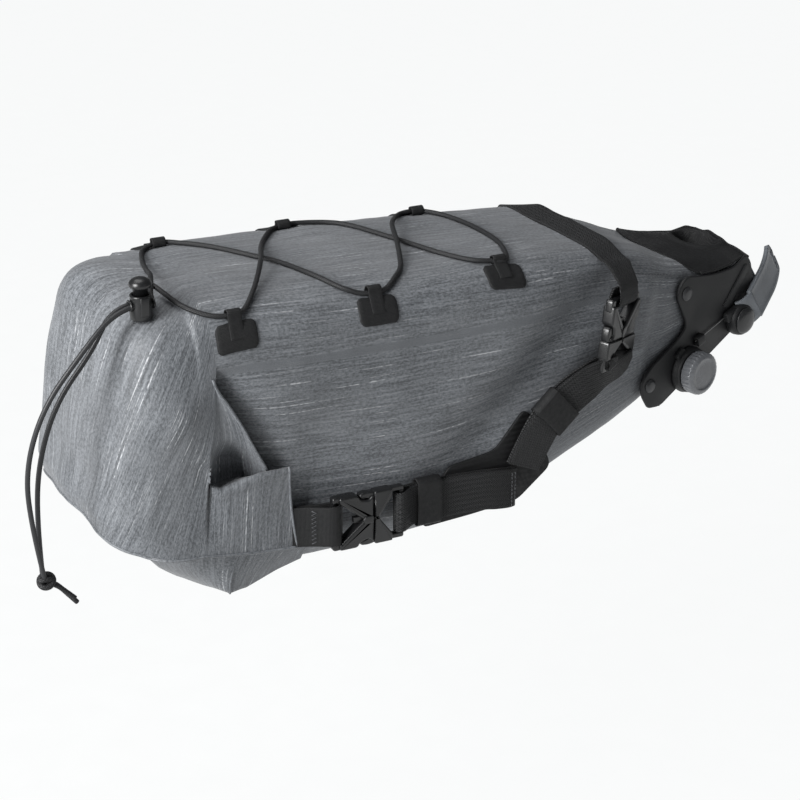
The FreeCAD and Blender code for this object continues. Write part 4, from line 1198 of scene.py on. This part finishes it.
for side, hand in SIDES:
    panel = slab(rounded(panel_outline(side, PANEL), 5, 6), 0.0, 2.4, 0.9, 4)
    rib = panel_outline(side, [(-49.5, -1.5), (-44.5, -4.0), (-26.5, 18), (-29, 23)])
    panel.merge(slab(rounded(rib, 2), 2.0, 3.3, 0.6, 3))
    panel.moved(on_panel(side, FRONT_X, 0)).make("panel_" + hand, "panel_plastic", "bag", "nose_panel_" + hand)
    rivets = Build()
    for x, z in ((-83, 15.6), (-113, -37.2)):
        head = turned([(0.01, 0), (4.3, 0), (4.5, 0.4), (4.3, 0.8), (3.7, 0.9), (3.5, 1.1), (3.3, 1.5),
                       (2.4, 1.75), (0.01, 1.8)], 32)
        rivets.merge(head.moved(on_panel(side, x, z, 2.3)))
    rivets.make("rivets_" + hand, "rivet_plastic", "bag", "nose_rivets_" + hand)


def flap_height(x, t):
    """Height of the nose's black top. t runs from -1 on the near edge to 1 on the far edge."""
    y = t * half_gap(x)
    rim = float(np.interp(x, (-96, -85, -73, -55, -40, -31, -24), (31, 28.6, 26.0, 24.2, 24.6, 27.2, 25.5)))
    mid = float(np.interp(x, (-96, -85, -62, -50, -42, -34, -24), (36.0, 34.4, 31.0, 29.5, 29.0, 29.5, 27)))
    z = rim + (mid - rim) * (1 - abs(t) ** 3.2)
    if x < -50 and abs(y) < station(x)[0] - 1:
        z = max(z, crown(x, y) + 0.5)
    bowl = ((x + 41) / 13.5) ** 2 + ((y - 5) / 17.5) ** 2
    z -= 15 * max(0.0, 1 - bowl) ** 0.6 if bowl < 1 else 0
    z += 1.6 * math.exp(-((math.sqrt(bowl) - 1.12) / 0.16) ** 2)
    web = ((x + 48) / 5) ** 2 + ((y - 2) / 5) ** 2
    z += 5.5 * math.exp(-web) * (bowl < 1)
    z += 0.9 * hash_noise(V(x, y, 0), 0.06, 8)
    return z


FLAP_ROWS, FLAP_COLS = 54, 56
verts, uv = [], []
for i in range(FLAP_ROWS):
    for j in range(FLAP_COLS):
        t = 2 * j / (FLAP_COLS - 1) - 1
        start_x = -93.5 + 24 * abs(t) ** 2.2
        x = start_x + (-25.0 - start_x) * i / (FLAP_ROWS - 1) - 2.0 * (1 - t * t) * i / (FLAP_ROWS - 1)
        y = t * (half_gap(x) + 0.6)
        verts.append(V(x, y, flap_height(x, t)))
        uv.append((y, x))
flap = Build().add(verts, quads(FLAP_ROWS, FLAP_COLS, flip=True), uv)
net = np.array(verts).reshape(FLAP_ROWS, FLAP_COLS, 3)
for line, radius in ((net[:, 0], 0.9), (net[:, -1], 0.9), (net[-1], 1.0), (net[0] - V(0, 0, 0.3), 0.6)):
    flap.merge(tube(line, radius, 8))
flap.make("nose_flap", "black_fabric", "bag", "nose_top_cover")

COVER_CELLS = 30
verts, uv = [], []
for i in range(COVER_CELLS):
    x = -101 + 64 * i / (COVER_CELLS - 1)
    for j in range(COVER_CELLS):
        t = 2 * j / (COVER_CELLS - 1) - 1
        sag = 3.2 * (1 - t * t) * math.sin(math.pi * i / (COVER_CELLS - 1))
        z = float(np.interp(x, (-101, -60, -37), (-54.5, -30.6, -17.6))) - sag
        verts.append(V(x, t * (half_gap(x) - 0.6), z + 0.5 * hash_noise(V(x, t * 30, 0), 0.06, 3)))
        uv.append((t * 40, x))
base_cover = Build().add(verts, quads(COVER_CELLS, COVER_CELLS), uv)
for i in (0, -1):
    base_cover.merge(tube(np.array(verts).reshape(COVER_CELLS, COVER_CELLS, 3)[i], 0.8, 8))
base_cover.make("nose_floor", "black_fabric", "bag", "nose_base_cover")

# Seam under the front end of the grey top, with its row of stitches.
for side, hand in SIDES:
    seam = [side_at(x, z, side, 0.35) for x, z in
            ((-128, 38), (-118, 35.5), (-108, 33), (-99, 30.5), (-91, 28.2))]
    stitches(seam, (0, -side, 0.3), 1.8, 1.2, 0.24).make("nose_seam_" + hand, "thread", "bag")

# ---------------------------------------------------------------- dial, lace, puck and strap
DIAL, GUIDE, PUCK = (-80, -35), (-71.5, -17.4), (-35.5, -12.6)


def knurl(a, z):
    """The dial's thirty ridges, deep round its side and shallow elsewhere."""
    return 1 - 0.045 * (0.5 + 0.5 * math.cos(a * 30)) * (1 if 7.2 < z < 13.2 else 0.25 if z > 1 else 0)


housing = turned([(0.01, 0), (14.2, 0), (14.9, 0.5), (15.0, 1.6), (14.4, 2.6), (14.2, 4.6), (13.9, 5.8),
                  (13.2, 6.0), (10.3, 6.0), (10.2, 1.4), (0.01, 1.4)], 96)
housing.merge(block(-4, 4, 11, 17.5, 0, 3.4, 0.8, 1.5))
housing.moved(on_panel(1, *DIAL, 2.3, 35)).make("dial_housing", "panel_plastic", "bag", "dial_base")
knob = turned([(0.01, 6.4), (12.6, 6.4), (13.5, 6.8), (13.7, 7.6), (13.7, 12.6), (13.4, 13.3), (12.6, 13.9),
               (11.9, 14.1), (11.2, 14.6), (10.4, 14.8), (9.9, 14.5), (9.6, 14.2), (7.0, 14.35), (0.01, 14.5)],
              180, knurl)
knob.moved(on_panel(1, *DIAL, 2.3)).make("dial_cap", "dial_plastic", "dial_knob", "dial_knob")

guide = block(-3.4, 3.4, -3.2, -1.1, 0, 3.8, 0.5, 0.8).merge(block(-3.4, 3.4, 1.1, 3.2, 0, 3.8, 0.5, 0.8))
guide.merge(block(-3.4, 3.4, -3.0, 3.0, 2.6, 4.0, 0.5, 0.8))
guide.moved(on_panel(1, *GUIDE, 2.3, 12)).make("guide", "panel_plastic", "bag", "lace_guide")
origin, along = on_panel(1, *GUIDE, 2.2 + 1.1, 12)[:2]
lace_end = on_panel(1, PUCK[0] - 9, PUCK[1] + 4.6, 3.4)[0]
lace_line = [origin - along * 3] + [origin + (lace_end - origin) * t for t in np.linspace(0, 1, 14)]
tube(lace_line, 0.42, 8).make("lace", "lace_steel", "bag", "tightening_lace")

puck = turned([(0.01, 0), (9.8, 0), (10.4, 0.6), (10.6, 2.0), (10.3, 4.6), (9.8, 6.2), (8.9, 6.9),
               (0.01, 7.0)], 72)
puck.merge(slab(rounded([(-12.8, 3.0), (-12.8, 9.2), (2.0, 10.0), (2.0, 3.0)], 2), 0.4, 4.6, 0.8))
puck.moved(on_panel(1, *PUCK, 2.5, 12)).make("puck_body", "panel_plastic", "puck", "strap_puck")
cap = turned([(0.01, 0.0), (8.2, 0.0), (8.6, 0.4), (8.5, 1.0), (7.8, 1.7), (6.2, 2.4), (3.6, 2.9),
              (0.01, 3.1)], 64)
cap.moved(on_panel(1, *PUCK, 9.55)).make("puck_dome", "dark_cap", "puck", "puck_cap")

lean = math.radians(30)
FORWARD, UPWARD = V(math.cos(lean), 0, math.sin(lean)), V(-math.sin(lean), 0, math.cos(lean))
STRAP = [(-22.5, -38.2), (-14, -33.0), (-8, -29.2), (-2, -25.4), (4, -20.6), (9, -15.8), (13, -11.2),
         (16, -6.6)]
STRAP_RISE, STRAP_HALF = 7.5, 10.5
strap_path = catmull([FORWARD * f + V(0, y, 0) + UPWARD * STRAP_RISE for f, y in STRAP], 0.8)
strap_run = run_lengths(strap_path)
strap_length = strap_run[-1]
SLOT_FROM, SLOT_TO = strap_length - 8.2, strap_length - 3.2
strap_tangent = np.gradient(strap_path, axis=0)
strap = Build()


def strap_strip(low, high, s0, s1, cells=4):
    """One lengthwise strip of the strap, between two distances across it."""
    rows = [k for k in range(len(strap_run)) if s0 - 1e-6 <= strap_run[k] <= s1 + 1e-6]
    face = [(low, -1.0), (low, 0.9), (low + 0.5, 1.2)]
    face += [(low + (high - low) * q / cells, 1.2) for q in range(1, cells)]
    face += [(high - 0.5, 1.2), (high, 0.9), (high, -1.0), (high - 0.5, -1.2), (low + 0.5, -1.2)]
    verts, uv = [], []
    for k in rows:
        out = -unit(np.cross(UPWARD, unit(strap_tangent[k])))
        end = min(1.0, (strap_length - strap_run[k]) / 6.0)
        limit = STRAP_HALF * math.sqrt(max(0.05, 1 - (1 - end) ** 2))
        for w, h in face:
            rim = 0.55 * smooth(7.6, 9.4, abs(w)) * (h > 0)
            verts.append(strap_path[k] + UPWARD * max(-limit, min(limit, w)) + out * (h + rim))
            uv.append((w, strap_run[k]))
    strap.add(verts, closed_skin(len(rows), len(face)), uv)


strap_strip(-STRAP_HALF, STRAP_HALF, 0, SLOT_FROM + 0.4, 10)
strap_strip(-STRAP_HALF, -6.0, SLOT_FROM - 0.8, SLOT_TO + 0.8)
strap_strip(6.0, STRAP_HALF, SLOT_FROM - 0.8, SLOT_TO + 0.8)
strap_strip(-STRAP_HALF, STRAP_HALF, SLOT_TO - 0.4, strap_length, 10)
strap.make("rubber_strap", "strap_rubber", "post_strap", "post_strap")

# The strap's root, which the puck holds down on the panel.
hinge = strap_path[0]
inboard = on_panel(1, PUCK[0] + 1, PUCK[1] + 2.5, 4.4)[0]
root = catmull([inboard, inboard * 0.55 + hinge * 0.45 + V(0, -2.0, 0),
                hinge + V(0, -0.5, 0) + FORWARD * 1.5], 1.0)
belt(root, UPWARD, 19.5, 2.2, 0.6, 6).make("strap_root", "strap_rubber", "puck")

stud = turned([(0.01, 0), (3.6, 0), (3.4, 0.6), (2.6, 0.9), (2.6, 4.8), (3.2, 5.0), (4.3, 5.2), (4.5, 5.8),
               (4.2, 6.5), (3.0, 6.9), (0.01, 7.0)], 36)
stud.moved(on_panel(-1, -27, -6, 2.3)).make("stud", "panel_plastic", "bag", "strap_stud")

# ---------------------------------------------------------------- camera, light and floor
# The camera's place and lens are those fitted to the photo, in metres and millimetres.
TARGET = Vector((-0.256, 0, -0.04248))
CAMERA_PLACE, LENS, SENSOR = (-0.8705, -1.2433, 0.5291), 109.35, 36
LAMP_AIM = (-0.25, 0, -0.02)
LAMPS = (("key", (-0.55, 0.35, 1.5), 1.1, 1.1, 12), ("left", (-1.9, -0.5, 0.7), 0.8, 1.1, 66),
         ("front", (0.6, -1.9, 0.9), 1.2, 1.2, 1))
FLOOR_Z, FLOOR_HALF = -0.32, 6.0


def aimed(obj, place, aim):
    """Puts a camera or a lamp at a place and turns it towards another."""
    obj.location = place
    obj.rotation_euler = (Vector(aim) - obj.location).to_track_quat("-Z", "Y").to_euler()


camera = linked("camera", bpy.data.cameras.new("camera"))
aimed(camera, CAMERA_PLACE, TARGET)
camera.data.lens = LENS
camera.data.sensor_width = SENSOR
camera.data.clip_start = 0.05
bpy.context.scene.camera = camera

bpy.context.scene.view_settings.view_transform = "Standard"
world = bpy.data.worlds.new("studio")
bpy.context.scene.world = world
world.use_nodes = True
background = world.node_tree.nodes["Background"].inputs
background["Color"].default_value = (0.95, 0.97, 1.0, 1)
background["Strength"].default_value = 0.17

for name, place, width, height, power in LAMPS:
    light = bpy.data.lights.new(name, "AREA")
    light.shape = "RECTANGLE"
    light.size, light.size_y, light.energy = width, height, power
    obj = linked(name, light)
    aimed(obj, place, LAMP_AIM)

floor = bpy.data.meshes.new("floor")
corners = ((-1, -1), (1, -1), (1, 1), (-1, 1))
floor.from_pydata([(x * FLOOR_HALF, y * FLOOR_HALF, FLOOR_Z) for x, y in corners], [], [(0, 1, 2, 3)])
floor_obj = linked("floor", floor)
paper = Nodes("floor_paper")
grain = paper.noise(paper.place(), 40.0, 3.0)
paper.set(Base_Color=paper.mix(grain, grey(0.03), grey(0.05)), Roughness=0.95, Specular_IOR_Level=0.0)
paper.bsdf.inputs["Emission Color"].default_value = grey(0.96, (0.99, 1.0, 1.0))
paper.bsdf.inputs["Emission Strength"].default_value = 0.97
floor.materials.append(paper.mat)
